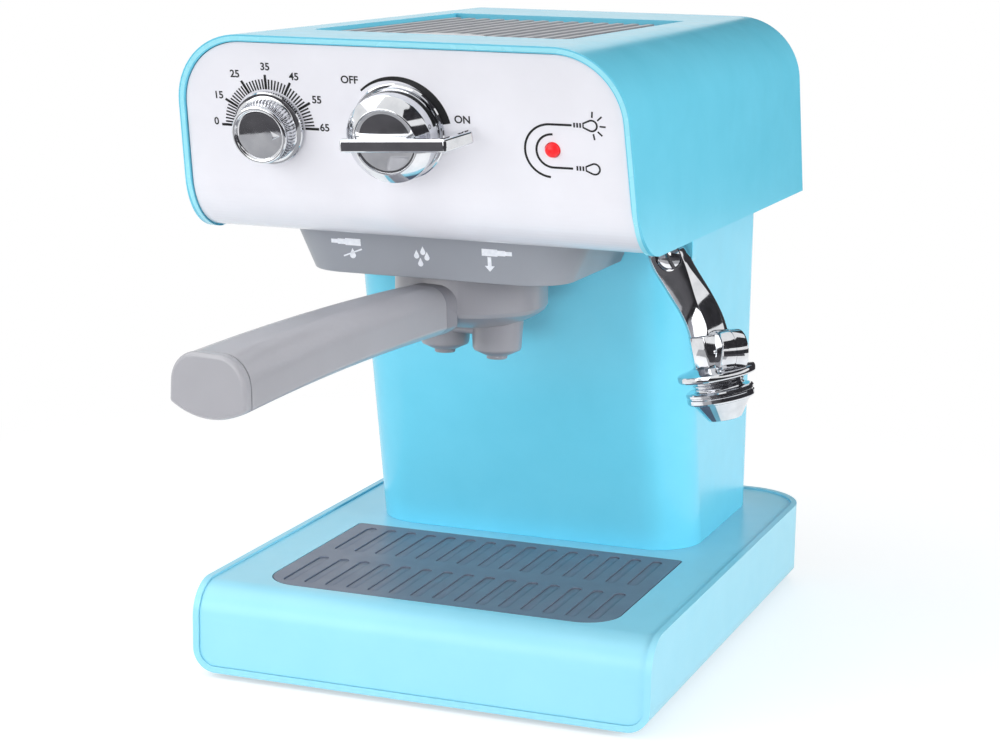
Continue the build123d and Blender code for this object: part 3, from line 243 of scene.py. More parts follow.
finishes = {
    name: moulded(name, colour(*dark), colour(*light), *surface)
    for name, (dark, light, *surface) in plastics.items()
}
finishes["plated"] = plated_finish()
finishes["tank_clear"] = clear_finish()
finishes["lamp_red"] = lamp_finish()
finishes["steel"] = metal_finish(
    "steel", colour(168, 170, 174), colour(196, 198, 202), smooth=0.22, rough=0.4, patch=3.0
)
finishes["cell_jacket"] = metal_finish(
    "cell_jacket", colour(66, 70, 80), colour(90, 96, 108), smooth=0.3, rough=0.42, patch=8.0
)
black_ink = ink_finish("black_ink", colour(16, 16, 18), colour(30, 30, 33))
white_ink = ink_finish("white_ink", colour(226, 230, 238), colour(240, 243, 249))


def in_scene(name, data):
    """Object in the scene that holds a mesh, a curve, a lamp or a camera."""
    holder = bpy.data.objects.new(name, data)
    bpy.context.scene.collection.objects.link(holder)
    return holder


def plain_mesh(holder):
    """Plain mesh of an object as its modifiers leave it."""
    graph = bpy.context.evaluated_depsgraph_get()
    return bpy.data.meshes.new_from_object(holder.evaluated_get(graph))


def mesh_from(name, points, faces):
    """Mesh from points and faces, with doubled points merged and faces turned outwards."""
    merge_distance = 0.0005
    mesh = bpy.data.meshes.new(name)
    mesh.from_pydata([tuple(point) for point in points], [], faces)
    work = bmesh.new()
    work.from_mesh(mesh)
    bmesh.ops.remove_doubles(work, verts=work.verts, dist=merge_distance)
    bmesh.ops.recalc_face_normals(work, faces=work.faces)
    work.to_mesh(mesh)
    work.free()
    return mesh


def skin(name, rings):
    """Closed surface over rings of points, capped at both ends."""
    count = len(rings[0])
    points = [point for ring in rings for point in ring]
    faces = []
    for start in range(0, len(points) - count, count):
        for step in range(count):
            here = start + step
            there = start + (step + 1) % count
            faces.append((here, there, there + count, here + count))
    faces.append(tuple(reversed(range(count))))
    faces.append(tuple(range(len(points) - count, len(points))))
    return mesh_from(name, points, faces)


def lathe(name, profile, steps=96):
    """Round piece about its own Z axis, from radius and height along its profile."""
    turns = [2 * pi * step / steps for step in range(steps)]
    return skin(name, [[(r * cos(a), r * sin(a), h) for a in turns] for r, h in profile])


def plate(name, outline, low, high):
    """Flat plate of an outline between two heights."""
    return skin(name, [[(x, y, z) for x, y in outline] for z in (low, high)])


def arc(centre, radius, first, last, steps=24):
    """Points of an arc between two angles in degrees."""
    turns = [radians(first + (last - first) * step / steps) for step in range(steps + 1)]
    return [(centre[0] + radius * cos(a), centre[1] + radius * sin(a)) for a in turns]


def stroke(name, path, width):
    """Printed line of a width along a path."""
    spots = [Vector(point) for point in path]
    left = []
    right = []
    for step, spot in enumerate(spots):
        ahead = spots[min(step + 1, len(spots) - 1)] - spots[max(step - 1, 0)]
        side = Vector((-ahead.y, ahead.x)).normalized() * width / 2
        left.append(spot + side)
        right.append(spot - side)
    return plate(name, left + right[::-1], 0, ink_thickness)


def loop_stroke(name, path, width):
    """Printed line of a width round a closed path."""
    spots = [Vector(point) for point in path]
    count = len(spots)
    points = []
    faces = []
    for step, spot in enumerate(spots):
        ahead = spots[(step + 1) % count] - spots[step - 1]
        side = Vector((-ahead.y, ahead.x)).normalized() * width / 2
        for corner, level in ((side, 0), (side, ink_thickness), (-side, ink_thickness), (-side, 0)):
            points.append((*(spot + corner), level))
        for corner in range(4):
            beside = (corner + 1) % 4
            after = (step + 1) % count * 4
            faces.append((step * 4 + corner, step * 4 + beside, after + beside, after + corner))
    return mesh_from(name, points, faces)


def joined(name, meshes):
    """One mesh out of several."""
    work = bmesh.new()
    for mesh in meshes:
        work.from_mesh(mesh)
        bpy.data.meshes.remove(mesh)
    whole = bpy.data.meshes.new(name)
    work.to_mesh(whole)
    work.free()
    return whole


def moved(mesh, place):
    """The mesh at a place."""
    mesh.transform(place)
    return mesh


def worked(mesh, kind, **settings):
    """The mesh with one modifier applied."""
    holder = in_scene(mesh.name, mesh)
    modifier = holder.modifiers.new(kind, kind)
    for name, value in settings.items():
        setattr(modifier, name, value)
    result = plain_mesh(holder)
    bpy.data.objects.remove(holder)
    bpy.data.meshes.remove(mesh)
    return result


def bevelled(mesh, width, segments=2, angle=25):
    """The mesh with its edges rounded."""
    limit = radians(angle)
    return worked(
        mesh, "BEVEL", width=width, segments=segments, limit_method="ANGLE", angle_limit=limit
    )


def carved(mesh, cutter):
    """The mesh with the shape of a cutter taken out of it."""
    tool = in_scene(cutter.name, cutter)
    result = worked(mesh, "BOOLEAN", operation="DIFFERENCE", solver="EXACT", object=tool)
    bpy.data.objects.remove(tool)
    bpy.data.meshes.remove(cutter)
    return result


def letters(text, height, spot):
    """Printed letters of a height, centred on a spot."""
    capital_share = 0.69
    curve = bpy.data.curves.new(text, "FONT")
    curve.body = text
    curve.size = height / capital_share
    curve.align_x = "CENTER"
    curve.align_y = "CENTER"
    curve.offset = letter_swell
    curve.extrude = ink_thickness / 2
    holder = in_scene(text, curve)
    mesh = plain_mesh(holder)
    bpy.data.objects.remove(holder)
    bpy.data.curves.remove(curve)
    return moved(mesh, Matrix.Translation((spot[0], spot[1], ink_thickness / 2)))


def make_piece(
    name, body, mesh, finish, place=Matrix.Identity(4), stands_for=(), crease=35
):
    """Puts a mesh drawn in millimetres in its place as a finished piece."""
    mesh.transform(Matrix.Scale(MM, 4) @ place)
    mesh.materials.clear()
    mesh.materials.append(finish)
    mesh.shade_smooth()
    mesh.set_sharp_from_angle(angle=radians(crease))
    piece = in_scene(name, mesh)
    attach(piece, body)
    if stands_for:
        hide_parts(*stands_for)
    return piece


def round_edges(piece, width, segments=3, angle=32):
    """Rounds the sharp edges of a piece and evens its shading."""
    large_faces = 90
    bevel = piece.modifiers.new("edges", "BEVEL")
    bevel.width = width * MM
    bevel.segments = segments
    bevel.limit_method = "ANGLE"
    bevel.angle_limit = radians(angle)
    bevel.miter_outer = "MITER_ARC"
    weighted = piece.modifiers.new("shading", "WEIGHTED_NORMAL")
    weighted.keep_sharp = True
    weighted.weight = large_faces
    return piece


def merged_copy(node):
    """Merged copy of a node's shape, in millimetres."""
    merge_distance, flat_angle = 0.004, 0.4
    mesh = frame["nodes"][node].data.copy()
    work = bmesh.new()
    work.from_mesh(mesh)
    bmesh.ops.remove_doubles(work, verts=work.verts, dist=merge_distance * MM)
    bmesh.ops.dissolve_limit(
        work, angle_limit=radians(flat_angle), verts=work.verts, edges=work.edges,
        delimit={"NORMAL"},
    )
    work.to_mesh(mesh)
    work.free()
    mesh.transform(Matrix.Scale(1 / MM, 4))
    return mesh


def soften(node, edge, finish):
    """Dresses a node in a merged copy of its shape with rounded edges."""
    mesh = merged_copy(node)
    mesh.name = node + "_dressed"
    piece = make_piece(
        mesh.name, body_of[node], mesh, finish, stands_for=[node],
        crease=32,
    )
    return round_edges(piece, edge)


# Geometry node trees for what repeats
def new_tree(name, sizes):
    """Empty tree with named sizes and a finish, and its input and output nodes."""
    tree = bpy.data.node_groups.new(name, "GeometryNodeTree")
    for label, kind in sizes:
        tree.interface.new_socket(label, in_out="INPUT", socket_type=kind)
    tree.interface.new_socket("Finish", in_out="INPUT", socket_type="NodeSocketMaterial")
    tree.interface.new_socket("Geometry", in_out="OUTPUT", socket_type="NodeSocketGeometry")
    return tree, tree.nodes.new("NodeGroupInput"), tree.nodes.new("NodeGroupOutput")


def tree_math(tree, operation, first, second, third=None):
    """Math node on sockets or numbers."""
    node = tree.nodes.new("ShaderNodeMath")
    node.operation = operation
    for slot, value in enumerate((first, second, third)):
        if value is None:
            continue
        if isinstance(value, (int, float)):
            node.inputs[slot].default_value = value
        else:
            tree.links.new(value, node.inputs[slot])
    return node.outputs["Value"]


def tree_vector(tree, x, y, z):
    """Vector from three sockets or numbers."""
    node = tree.nodes.new("ShaderNodeCombineXYZ")
    for slot, value in enumerate((x, y, z)):
        if isinstance(value, (int, float)):
            node.inputs[slot].default_value = value
        else:
            tree.links.new(value, node.inputs[slot])
    return node.outputs["Vector"]


def tree_end(tree, given, result, points, instance, turn):
    """Sets copies on points, makes them real and gives them their finish."""
    copies = tree.nodes.new("GeometryNodeInstanceOnPoints")
    real = tree.nodes.new("GeometryNodeRealizeInstances")
    dress = tree.nodes.new("GeometryNodeSetMaterial")
    tree.links.new(points, copies.inputs["Points"])
    tree.links.new(instance, copies.inputs["Instance"])
    if turn is not None:
        euler = tree.nodes.new("FunctionNodeEulerToRotation")
        tree.links.new(turn, euler.inputs["Euler"])
        tree.links.new(euler.outputs["Rotation"], copies.inputs["Rotation"])
    tree.links.new(copies.outputs["Instances"], real.inputs["Geometry"])
    tree.links.new(real.outputs["Geometry"], dress.inputs["Geometry"])
    tree.links.new(given.outputs["Finish"], dress.inputs["Material"])
    tree.links.new(dress.outputs["Geometry"], result.inputs["Geometry"])


def ring_tree():
    """Bars that point outwards, spread round an arc."""
    number = "NodeSocketFloat"
    sizes = [("Count", "NodeSocketInt")]
    for label in ("Radius", "First", "Sweep", "Length", "Width", "Height"):
        sizes.append((label, number))
    tree, given, result = new_tree("ring_of_bars", sizes)
    index = tree.nodes.new("GeometryNodeInputIndex").outputs["Index"]
    steps = tree_math(tree, "SUBTRACT", given.outputs["Count"], 1)
    share = tree_math(tree, "DIVIDE", index, steps)
    turn = tree_math(tree, "MULTIPLY_ADD", share, given.outputs["Sweep"], given.outputs["First"])
    radius = given.outputs["Radius"]
    across = tree_math(tree, "MULTIPLY", tree_math(tree, "COSINE", turn, 0), radius)
    up = tree_math(tree, "MULTIPLY", tree_math(tree, "SINE", turn, 0), radius)
    points = tree.nodes.new("GeometryNodePoints")
    tree.links.new(given.outputs["Count"], points.inputs["Count"])
    tree.links.new(tree_vector(tree, across, up, 0), points.inputs["Position"])
    bar = tree.nodes.new("GeometryNodeMeshCube")
    size = tree_vector(tree, *[given.outputs[label] for label in ("Length", "Width", "Height")])
    tree.links.new(size, bar.inputs["Size"])
    turned = tree_vector(tree, 0, 0, turn)
    tree_end(tree, given, result, points.outputs[0], bar.outputs["Mesh"], turned)
    return tree


def grid_tree():
    """Copies of a shape in rows and columns round the origin."""
    number, whole = "NodeSocketFloat", "NodeSocketInt"
    sizes = [("Columns", whole), ("Rows", whole), ("Step", number), ("Row Step", number)]
    tree, given, result = new_tree("grid_of_shapes", sizes + [("Shape", "NodeSocketObject")])
    index = tree.nodes.new("GeometryNodeInputIndex").outputs["Index"]
    row = tree_math(tree, "FLOOR", tree_math(tree, "DIVIDE", index, given.outputs["Columns"]), 0)
    column = tree_math(tree, "MODULO", index, given.outputs["Columns"])
    spots = []
    for place, count, step in ((column, "Columns", "Step"), (row, "Rows", "Row Step")):
        middle = tree_math(tree, "MULTIPLY_ADD", given.outputs[count], -0.5, 0.5)
        from_middle = tree_math(tree, "ADD", place, middle)
        spots.append(tree_math(tree, "MULTIPLY", from_middle, given.outputs[step]))
    points = tree.nodes.new("GeometryNodePoints")
    total = tree_math(tree, "MULTIPLY", given.outputs["Columns"], given.outputs["Rows"])
    tree.links.new(total, points.inputs["Count"])
    tree.links.new(tree_vector(tree, spots[0], spots[1], 0), points.inputs["Position"])
    shape = tree.nodes.new("GeometryNodeObjectInfo")
    tree.links.new(given.outputs["Shape"], shape.inputs["Object"])
    tree_end(tree, given, result, points.outputs[0], shape.outputs["Geometry"], None)
    return tree


def grow(tree, finish, **sizes):
    """Plain mesh of a tree with its sizes set."""
    holder = in_scene(tree.name, bpy.data.meshes.new(tree.name))
    modifier = holder.modifiers.new(tree.name, "NODES")
    modifier.node_group = tree
    sizes["Finish"] = finish
    for item in tree.interface.items_tree:
        if item.in_out == "INPUT":
            modifier[item.identifier] = sizes[item.name]
    mesh = plain_mesh(holder)
    holder.modifiers.remove(modifier)
    bpy.data.objects.remove(holder)
    return mesh


ring_of_bars = ring_tree()
grid_of_shapes = grid_tree()

# Moulded shells and greys keep their solids' shapes, with rounded edges
soft_edges = {
    "base_tub": 0.12,
    "base_deck": 0.12,
    "column_shell": 0.4,
    "back_cover": 0.5,
    "head_shell": 0.6,
    "front_panel": 0.35,
    "group_skirt": 0.6,
    "drip_tray": 0.3,
    "handle_bar": 0.35,
    "handle_cap": 0.8,
    "rubber_feet": 0.5,
    "head_floor": 0.3,
    "bayonet_plate": 0.3,
    "battery_door": 0.3,
}
# Nodes whose shade differs from their slot's. The base's paler blue is painted light, a lit copy of the shell's
# blue; the lid's grey is its own
own_finish = {"base_tub": "blue_base", "base_deck": "blue_base", "tank_lid": "lid_grey"}
for node, edge in soft_edges.items():
    soften(node, edge, finishes[own_finish.get(node, slot_of[node])])
soften("wand_bracket", edge=0.4, finish=finishes["blue_shell"])


def deck_lip():
    """Lip of the deck that closes its seam with the tub, just under the surface."""
    reach, sink = 0.19, 0.14
    mesh = merged_copy("base_deck")
    half = max(vertex.co.x for vertex in mesh.vertices)
    wider = Matrix.Diagonal((1 + reach / half, 1, 1, 1))
    mesh.transform(Matrix.Translation((0, sink, -sink)) @ wider)
    make_piece("deck_lip", "housing", mesh, finishes["blue_base"], crease=32)


def tray_floors():
    """Shallow floors of the grooves in the drip tray."""
    columns, rows = 15, 2
    width, depth, floor, floor_edge = 4.3, 1.2, 0.4, 0.1
    edge, margin, end_steps = 6.5, 5.5, 12
    low, high = [Vector(corner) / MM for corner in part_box("drip_tray")]
    size = high - low
    run = size.y / rows - 2 * margin - width
    outline = arc((0, run / 2), width / 2, 0, 180, end_steps)
    outline += arc((0, -run / 2), width / 2, 180, 360, end_steps)
    groove = bevelled(plate("groove_floor", outline, -depth, -floor), floor_edge)
    shape = in_scene("groove_floor", groove)
    step = (size.x - 2 * edge - width) / (columns - 1)
    mesh = grow(
        grid_of_shapes, finishes["tray_grey"], Columns=columns, Rows=rows, Step=step,
        **{"Row Step": size.y / rows}, Shape=shape,
    )
    bpy.data.objects.remove(shape)
    place = Matrix.Translation(((low.x + high.x) / 2, (low.y + high.y) / 2, high.z))
    make_piece("tray_floors", "tray", mesh, finishes["tray_grey"], place)


def lid_grip():
    """Pale, slightly domed finger grip over the tab of the lid."""
    profile = [
        (18.15, -0.2), (18.15, 0.7), (17.95, 1.0), (17.5, 1.35), (16.9, 1.5), (14.0, 1.66),
        (10.0, 1.82), (5.0, 1.92), (0.4, 1.95),
    ]
    lid_top, steps = 240.0, 48
    lid_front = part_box("tank_lid")[0][1] / MM
    rings = []
    for radius, height in profile:
        rings.append([(x, y, height) for x, y in arc((0, 0), radius, 0, 180, steps)])
    grip = skin("lid_grip", rings)
    place = Matrix.Translation((0, lid_front, lid_top))
    make_piece("lid_grip", "lid", grip, finishes["lid_pale"], place)


def shifted(outline, inside, distance):
    """Points of an outline moved towards a point inside it, or away from it."""
    result = []
    for step, spot in enumerate(outline):
        ahead = outline[min(step + 1, len(outline) - 1)] - outline[max(step - 1, 0)]
        side = Vector((-ahead.y, ahead.x)).normalized()
        result.append(spot + side * (distance if side.dot(inside - spot) > 0 else -distance))
    return result


def head_rim():
    """Painted highlight: a paler blue band on the head's front edge, over the panel and round both lower corners,
    where the plastic is the shell's blue.
    """
    inset, width, sink, rise = 1.3, 1.5, 0.03, 0.05
    flat, step_down, side_start, front_half = 0.05, 0.2, 82.0, -60.0
    spots = [vertex.co / MM for vertex in frame["nodes"]["head_shell"].data.vertices]
    on_panel = [panel_place.inverted() @ spot for spot in spots]
    front = max(spot.z for spot in on_panel)
    edge = [spot.xy for spot in on_panel if spot.z > front - flat]
    outline = [edge[index] for index in convex_hull_2d(edge)]
    gaps = [(outline[index - 1] - outline[index]).length for index in range(len(outline))]
    start = gaps.index(max(gaps))
    outline = outline[start:] + outline[:start]
    path = shifted(outline, sum(outline, Vector((0, 0))) / len(outline), inset)
    place = panel_place @ Matrix.Translation((0, 0, front - sink))
    parts = [moved(stroke("top_band", path, width), place)]
    flank = [spot.yz for spot in spots if spot.x > side_start]
    profile = [flank[index] for index in convex_hull_2d(flank)]
    core = sum(profile, Vector((0, 0))) / len(profile)
    for end in (path[0], path[-1]):
        first = (panel_place @ Vector((*end, front))).yz
        below = first.y - step_down
        corner = [spot for spot in profile if spot.x < front_half and spot.y < below]
        run = [first] + sorted(corner, key=lambda spot: -spot.y)
        inner, outer = shifted(run, core, sink), shifted(run, core, -rise)
        rings = []
        for low, high in zip(inner, outer):
            left, right = end.x - width / 2, end.x + width / 2
            rings.append([(left, *low), (right, *low), (right, *high), (left, *high)])
        parts.append(skin("corner_band", rings))
    rim = joined("head_rim", parts)
    make_piece("head_rim", "housing", rim, finishes["blue_rim"])


deck_lip()
tray_floors()
lid_grip()
head_rim()

# Filter of the portafilter, measured from the foot of its basket
basket_foot = Vector((0, -62.0, 129.0))


def filter_bowl():
    """Basket whose foot is rounded into a bowl."""
    radius, low, top, edge = 28.55, -1.0, 12.6, 0.4
    at_foot = Matrix.Translation(basket_foot)
    foot = lathe("foot", [(0, low), (radius, low), (radius, top), (0, top)])
    bowl = lathe("bowl", [
        (0, 4.8), (15.0, 5.2), (19.6, 6.4), (23.0, 8.0), (25.8, 9.6), (27.6, 11.0), (28.5, top),
        (26.1, top), (22.0, 10.0), (13.0, 7.6), (0, 7.4),
    ])
    basket = carved(merged_copy("filter_body"), moved(foot, at_foot))
    basket = bevelled(basket, edge, segments=3, angle=32)
    return joined("filter_body", [basket, moved(bowl, at_foot)])


def spout_bosses():
    """Two stepped spouts with bored ends, joined by a web."""
    profile = [
        (0, 7.3), (9.8, 7.3), (9.4, 2.0), (9.1, -3.4), (8.7, -4.2), (5.0, -6.0), (4.6, -6.2),
        (3.9, -6.3), (3.9, -7.4), (3.7, -7.6), (1.8, -7.6), (1.6, -7.3), (1.6, -3.0), (0, -3.0),
    ]
    reach, turn = 11.4, radians(-10.0)
    half, low, high, edge = 7.0, 1.4, 6.8, 2.0
    outline = [(-reach, -half), (reach, -half), (reach, half), (-reach, half)]
    parts = [bevelled(plate("web", outline, low, high), edge, segments=5)]
    for side in (-reach, reach):
        parts.append(moved(lathe("spout", profile, 64), Matrix.Translation((side, 0, 0))))
    place = Matrix.Translation(basket_foot) @ Matrix.Rotation(turn, 4, "Z")
    return moved(joined("spouts", parts), place)


# Filter and spouts get the handle's grey darkened as painted shade
for node, mesh in (("filter_body", filter_bowl()), ("spout_manifold", spout_bosses())):
    make_piece(
        node + "_dressed", body_of[node], mesh, finishes["filter_grey"],
        stands_for=[node], crease=40,
    )

# The solids keep their own meshes and get their finish
for node, solid in frame["nodes"].items():
    solid.data.materials.clear()
    solid.data.materials.append(finishes[own_finish.get(node, slot_of[node])])


def dome(radius, rim, rise, steps=8):
    """Profile of a face that swells from its rim to its middle."""
    shares = [1 - step / steps for step in range(steps + 1)]
    return [(radius * share, rim + rise * (1 - share * share)) for share in shares]


# Timer knob: flange, fluted grip, crown and sunk face with a small pointer
timer_profile = [
    (0, 0.5), (12.6, 0.5), (13.0, 0.9), (13.0, 2.1), (12.7, 2.5), (11.6, 2.6), (11.2, 2.8),
    (10.9, 3.3), (10.0, 7.9), (10.1, 8.3), (10.3, 8.5), (10.4, 8.9), (10.4, 9.3), (10.25, 9.7),
    (9.9, 10.0), (9.5, 10.1), (9.1, 9.95), (8.85, 9.65), (8.75, 9.3), (8.55, 9.15),
] + dome(radius=8.4, rim=9.2, rise=0.42)
grip_low, grip_high, grip_radius = 2.6, 5.8, 10.75
grip_bars, grip_bar, grip_edge = 54, 0.6, 0.15
make_piece(
    "timer_knob_dressed", "timer", lathe("timer_knob", timer_profile, 144), finishes["plated"],
    timer_place, ["timer_knob"],
)
grip = grow(
    ring_of_bars, finishes["plated"], Count=grip_bars, Radius=grip_radius, First=0.0,
    Sweep=2 * pi * (grip_bars - 1) / grip_bars, Length=grip_bar, Width=grip_bar,
    Height=grip_high - grip_low,
)
grip_place = timer_place @ Matrix.Translation((0, 0, (grip_low + grip_high) / 2))
grip_piece = make_piece("timer_grip", "timer", grip, finishes["plated"], grip_place)
round_edges(grip_piece, grip_edge, segments=2)
pointer_foot = 9.1
pointer_peak = (5.9, 0, 10.4)
pointer_base = [(x, y, pointer_foot) for x, y in ((8.2, 0), (4.0, 2.4), (5.2, 0), (4.0, -2.4))]
pointer_faces = [(3, 2, 1, 0), (0, 1, 4), (1, 2, 4), (2, 3, 4), (3, 0, 4)]
pointer = mesh_from("timer_pointer", pointer_base + [pointer_peak], pointer_faces)
make_piece("timer_pointer", "timer", pointer, finishes["plated"], timer_place, crease=10)

# Lever switch: bezel, bevelled knob and the bar across it
bezel_profile = [
    (0, 0), (16.7, 0), (17.0, 0.3), (17.0, 0.8), (16.6, 1.2), (15.4, 1.2), (15.0, 0.9), (0, 0.9),
]
make_piece(
    "switch_bezel_dressed", "housing", lathe("switch_bezel", bezel_profile), finishes["plated"],
    panel_place, ["switch_bezel"],
)
knob_profile = [
    (0, 1.7), (15.2, 1.7), (15.6, 2.1), (15.6, 8.7), (15.5, 9.0), (15.3, 9.25), (11.8, 12.2),
    (11.5, 12.4), (11.25, 12.4), (11.1, 12.2), (11.0, 12.0),
] + dome(radius=10.9, rim=11.95, rise=0.5)
make_piece(
    "switch_knob_dressed", "switch", lathe("switch_knob", knob_profile, 144), finishes["plated"],
    panel_place, ["switch_knob"],
)


def lever_bar():
    """Lever bar whose front leans back a little at the top."""
    lean, front_depth = 0.16, 2.0
    mesh = merged_copy("switch_lever")
    mesh.transform(panel_place.inverted())
    front = max(vertex.co.z for vertex in mesh.vertices)
    leaning = [vertex for vertex in mesh.vertices if vertex.co.z > front - front_depth]
    low = min(vertex.co.y for vertex in leaning)
    for vertex in leaning:
        vertex.co.z -= lean * (vertex.co.y - low)
    return mesh


lever_piece = make_piece(
    "switch_lever_dressed", "switch", lever_bar(), finishes["plated"], panel_place,
    ["switch_lever"], crease=32,
)
round_edges(lever_piece, width=0.7)

# Red lamp
lamp_profile = [
    (0, -1.2), (2.5, -1.2), (2.5, 0.3), (2.35, 0.9), (1.9, 1.5), (1.2, 1.9), (0.5, 2.05), (0, 2.08),
]
make_piece(
    "led_lamp_dressed", "housing", lathe("led_lamp", lamp_profile, 48), finishes["lamp_red"],
    panel_place @ Matrix.Translation((*lamp_spot, 0)), ["led_lamp"],
)


# Steam wand, measured from its pivot
wand_place = Matrix.Translation(joint_spot("wand_swing"))
nozzle_tilt = radians(13.0)
knuckle = Vector((15.46, 0, -28.8))
nozzle_across = Vector((cos(nozzle_tilt), 0, sin(nozzle_tilt)))
nozzle_seat = place_on(knuckle, nozzle_across, Vector((0, -1, 0)))
recess_radius, recess_floor = 5.0, -2.4
screw_seat = place_on(Vector((0, recess_floor, 0)), panel_across, Vector((0, 0, 1)))


def ease(value, start, end):
    """Smooth rise from 0 at start to 1 at end."""
    share = min(max((value - start) / (end - start), 0), 1)
    return share * share * (3 - 2 * share)


def arm_section(half, share):
    """Section of the arm: flat front, cut away on the right towards the nozzle."""
    back, swell, corner = 4.3, 1.7, 1.0
    edge, flat_left, cut_depth = 0.6, 2.4, 4.8
    left_in, left_drop = 1.4, 1.6
    front = -back - swell * ease(share, start=0.6, end=1.1)
    cut = ease(share, start=0.16, end=0.72)
    crease = half - edge - (half - flat_left) * cut
    drop = edge + cut_depth * cut
    return [
        (-half, back - corner), (corner - half, back), (half - corner, back), (half, back - corner),
        (half, front + drop), (crease, front), (left_in - half, front), (-half, front + left_drop),
    ]


def wand_arm():
    """Arm that leans from its round eye down to the nozzle, with a recess for the screw."""
    eye, end = Vector((-1.4, 0.3)), Vector((15.3, -28.8))
    lead, tail = Vector((2.0, -8.0)), Vector((12.9, -18.6))
    eye_radius, half, taper_end, overrun, edge = 6.8, 6.4, 0.3, 1.5, 0.3
    cap_turn, cap_steps, steps = radians(85), 8, 28
    recess_top = 6.0
    spots = []
    upwards = (eye - lead).normalized()
    for step in range(cap_steps, 0, -1):
        turn = cap_turn * step / cap_steps
        spots.append((eye + upwards * eye_radius * sin(turn), -upwards, eye_radius * cos(turn), 0))
    for step in range(steps + 1):
        t = step / steps
        u = 1 - t
        spot = eye * u ** 3 + lead * 3 * u * u * t + tail * 3 * u * t * t + end * t ** 3
        ahead = (lead - eye) * u * u + (tail - lead) * 2 * u * t + (end - tail) * t * t
        width = eye_radius + (half - eye_radius) * ease(t, 0, taper_end)
        spots.append((spot, ahead.normalized(), width, t))
    spots.append((end + ahead.normalized() * overrun, ahead.normalized(), half, 1))
    rings = []
    for spot, ahead, width, share in spots:
        side = Vector((-ahead.y, ahead.x))
        section = [(spot + side * across, depth) for across, depth in arm_section(width, share)]
        rings.append([(point.x, depth, point.y) for point, depth in section])
    arm = bevelled(skin("wand_arm", rings), edge)
    recess_profile = [(0, 0), (recess_radius, 0), (recess_radius, recess_top), (0, recess_top)]
    return carved(arm, moved(lathe("recess", recess_profile, 48), screw_seat))


def wand_screw():
    """Pivot screw with a domed, slotted head."""
    profile = [
        (0, -15.4), (2.0, -15.4), (2.0, 0.05), (4.4, 0.05), (4.55, 0.25), (4.55, 0.7), (4.3, 1.15),
        (3.6, 1.5), (2.4, 1.8), (1.2, 1.95), (0, 2.0),
    ]
    reach, half, floor, top, turn = 8.0, 0.75, 0.8, 4.0, radians(-61)
    slot = plate("slot", [(-reach, -half), (reach, -half), (reach, half), (-reach, half)], floor, top)
    return carved(lathe("wand_screw", profile, 64), moved(slot, Matrix.Rotation(turn, 4, "Z")))


def nozzle_block():
    """Eight-sided block on a dished flange, with a drum across its front."""
    radius, first_corner, low, high, edge = 8.3, 133.5, -1.2, 11.5, 0.5
    corners = [radians(first_corner + 45 * step) for step in range(8)]
    outline = [(radius * cos(a), radius * sin(a)) for a in corners]
    block = bevelled(plate("block", outline, low, high), edge)
    flange = lathe("flange", [
        (0, 9.8), (7.6, 9.8), (8.4, 10.9), (11.2, 12.0), (13.6, 12.5), (14.35, 12.8), (14.6, 13.3),
        (14.6, 14.7), (14.35, 15.15), (13.9, 15.35), (0, 15.35),
    ])
    drum = lathe("drum", [
        (0, -0.5), (0.7, -0.5), (1.0, -0.2), (1.0, 0.5), (2.0, 0.5), (2.3, 0.1), (7.3, 0),
        (7.75, 0.25), (8.0, 0.8), (8.0, 5.0), (7.75, 5.15), (7.75, 5.4), (8.0, 5.55), (8.0, 9.6),
        (7.75, 10.2), (7.3, 10.45), (0, 10.5),
    ])
    drum_spot = knuckle + Vector((3.8, -6.5, -4.4))
    drum_seat = place_on(drum_spot, Vector((-0.65, 0.76, 0)), Vector((0, 0, 1)))
    parts = [moved(block, nozzle_seat), moved(flange, nozzle_seat), moved(drum, drum_seat)]
    return joined("wand_nozzle", parts)


def nozzle_tip():
    """Threaded neck, grooved nut and bored cone."""
    neck, crest, first_turn, pitch, turns = 8.7, 9.6, 15.6, 1.25, 3
    thread = [(0, 15.4), (neck, 15.4)]
    for turn in range(turns):
        start = first_turn + pitch * turn
        thread += [(neck, start), (crest, start + 0.35), (crest, start + 0.6), (neck, start + 0.95)]
    nut = [
        (neck, 19.4), (11.7, 19.4), (12.4, 19.7), (12.7, 20.2), (12.7, 21.0), (12.2, 21.3),
        (12.2, 21.7), (12.7, 22.0), (12.7, 23.4), (12.4, 23.9), (11.8, 24.2),
    ]
    cone = [
        (10.9, 24.2), (6.5, 30.7), (6.2, 31.05), (5.8, 31.2), (4.8, 31.2), (4.5, 30.9), (4.4, 27.5),
        (0, 27.0),
    ]
    return lathe("wand_tip", thread + nut + cone)


for node, mesh, place in (
    ("wand_arm", wand_arm(), wand_place),
    ("wand_screw", wand_screw(), wand_place @ screw_seat),
    ("wand_nozzle", nozzle_block(), wand_place),
    ("wand_tip", nozzle_tip(), wand_place @ nozzle_seat),
):
    make_piece(
        node + "_dressed", body_of[node], mesh, finishes["plated"], place, [node],
        crease=28,
    )


# Printed dial round the timer knob
dial_spot = (-48.7, -0.9)
dial_numbers = {
    "0": (-69.4, 0.1), "15": (-67.4, 9.7), "25": (-60.2, 17.6), "35": (-48.3, 20.6),
    "45": (-37.6, 17.5), "55": (-29.8, 9.6), "65": (-27.8, -0.3),
}


def dial_print():
    """Long and short marks with their numbers."""
    at_dial = Matrix.Translation((*dial_spot, ink_thickness / 2))
    long_marks = grow(
        ring_of_bars, black_ink, Count=7, Radius=16.1, First=pi, Sweep=-pi, Length=5.2, Width=0.9,
        Height=ink_thickness,
    )
    short_marks = grow(
        ring_of_bars, black_ink, Count=43, Radius=15.3, First=pi, Sweep=-pi, Length=3.6, Width=0.55,
        Height=ink_thickness,
    )
    numbers = [letters(text, digit_height, spot) for text, spot in dial_numbers.items()]
    return [moved(long_marks, at_dial), moved(short_marks, at_dial)] + numbers


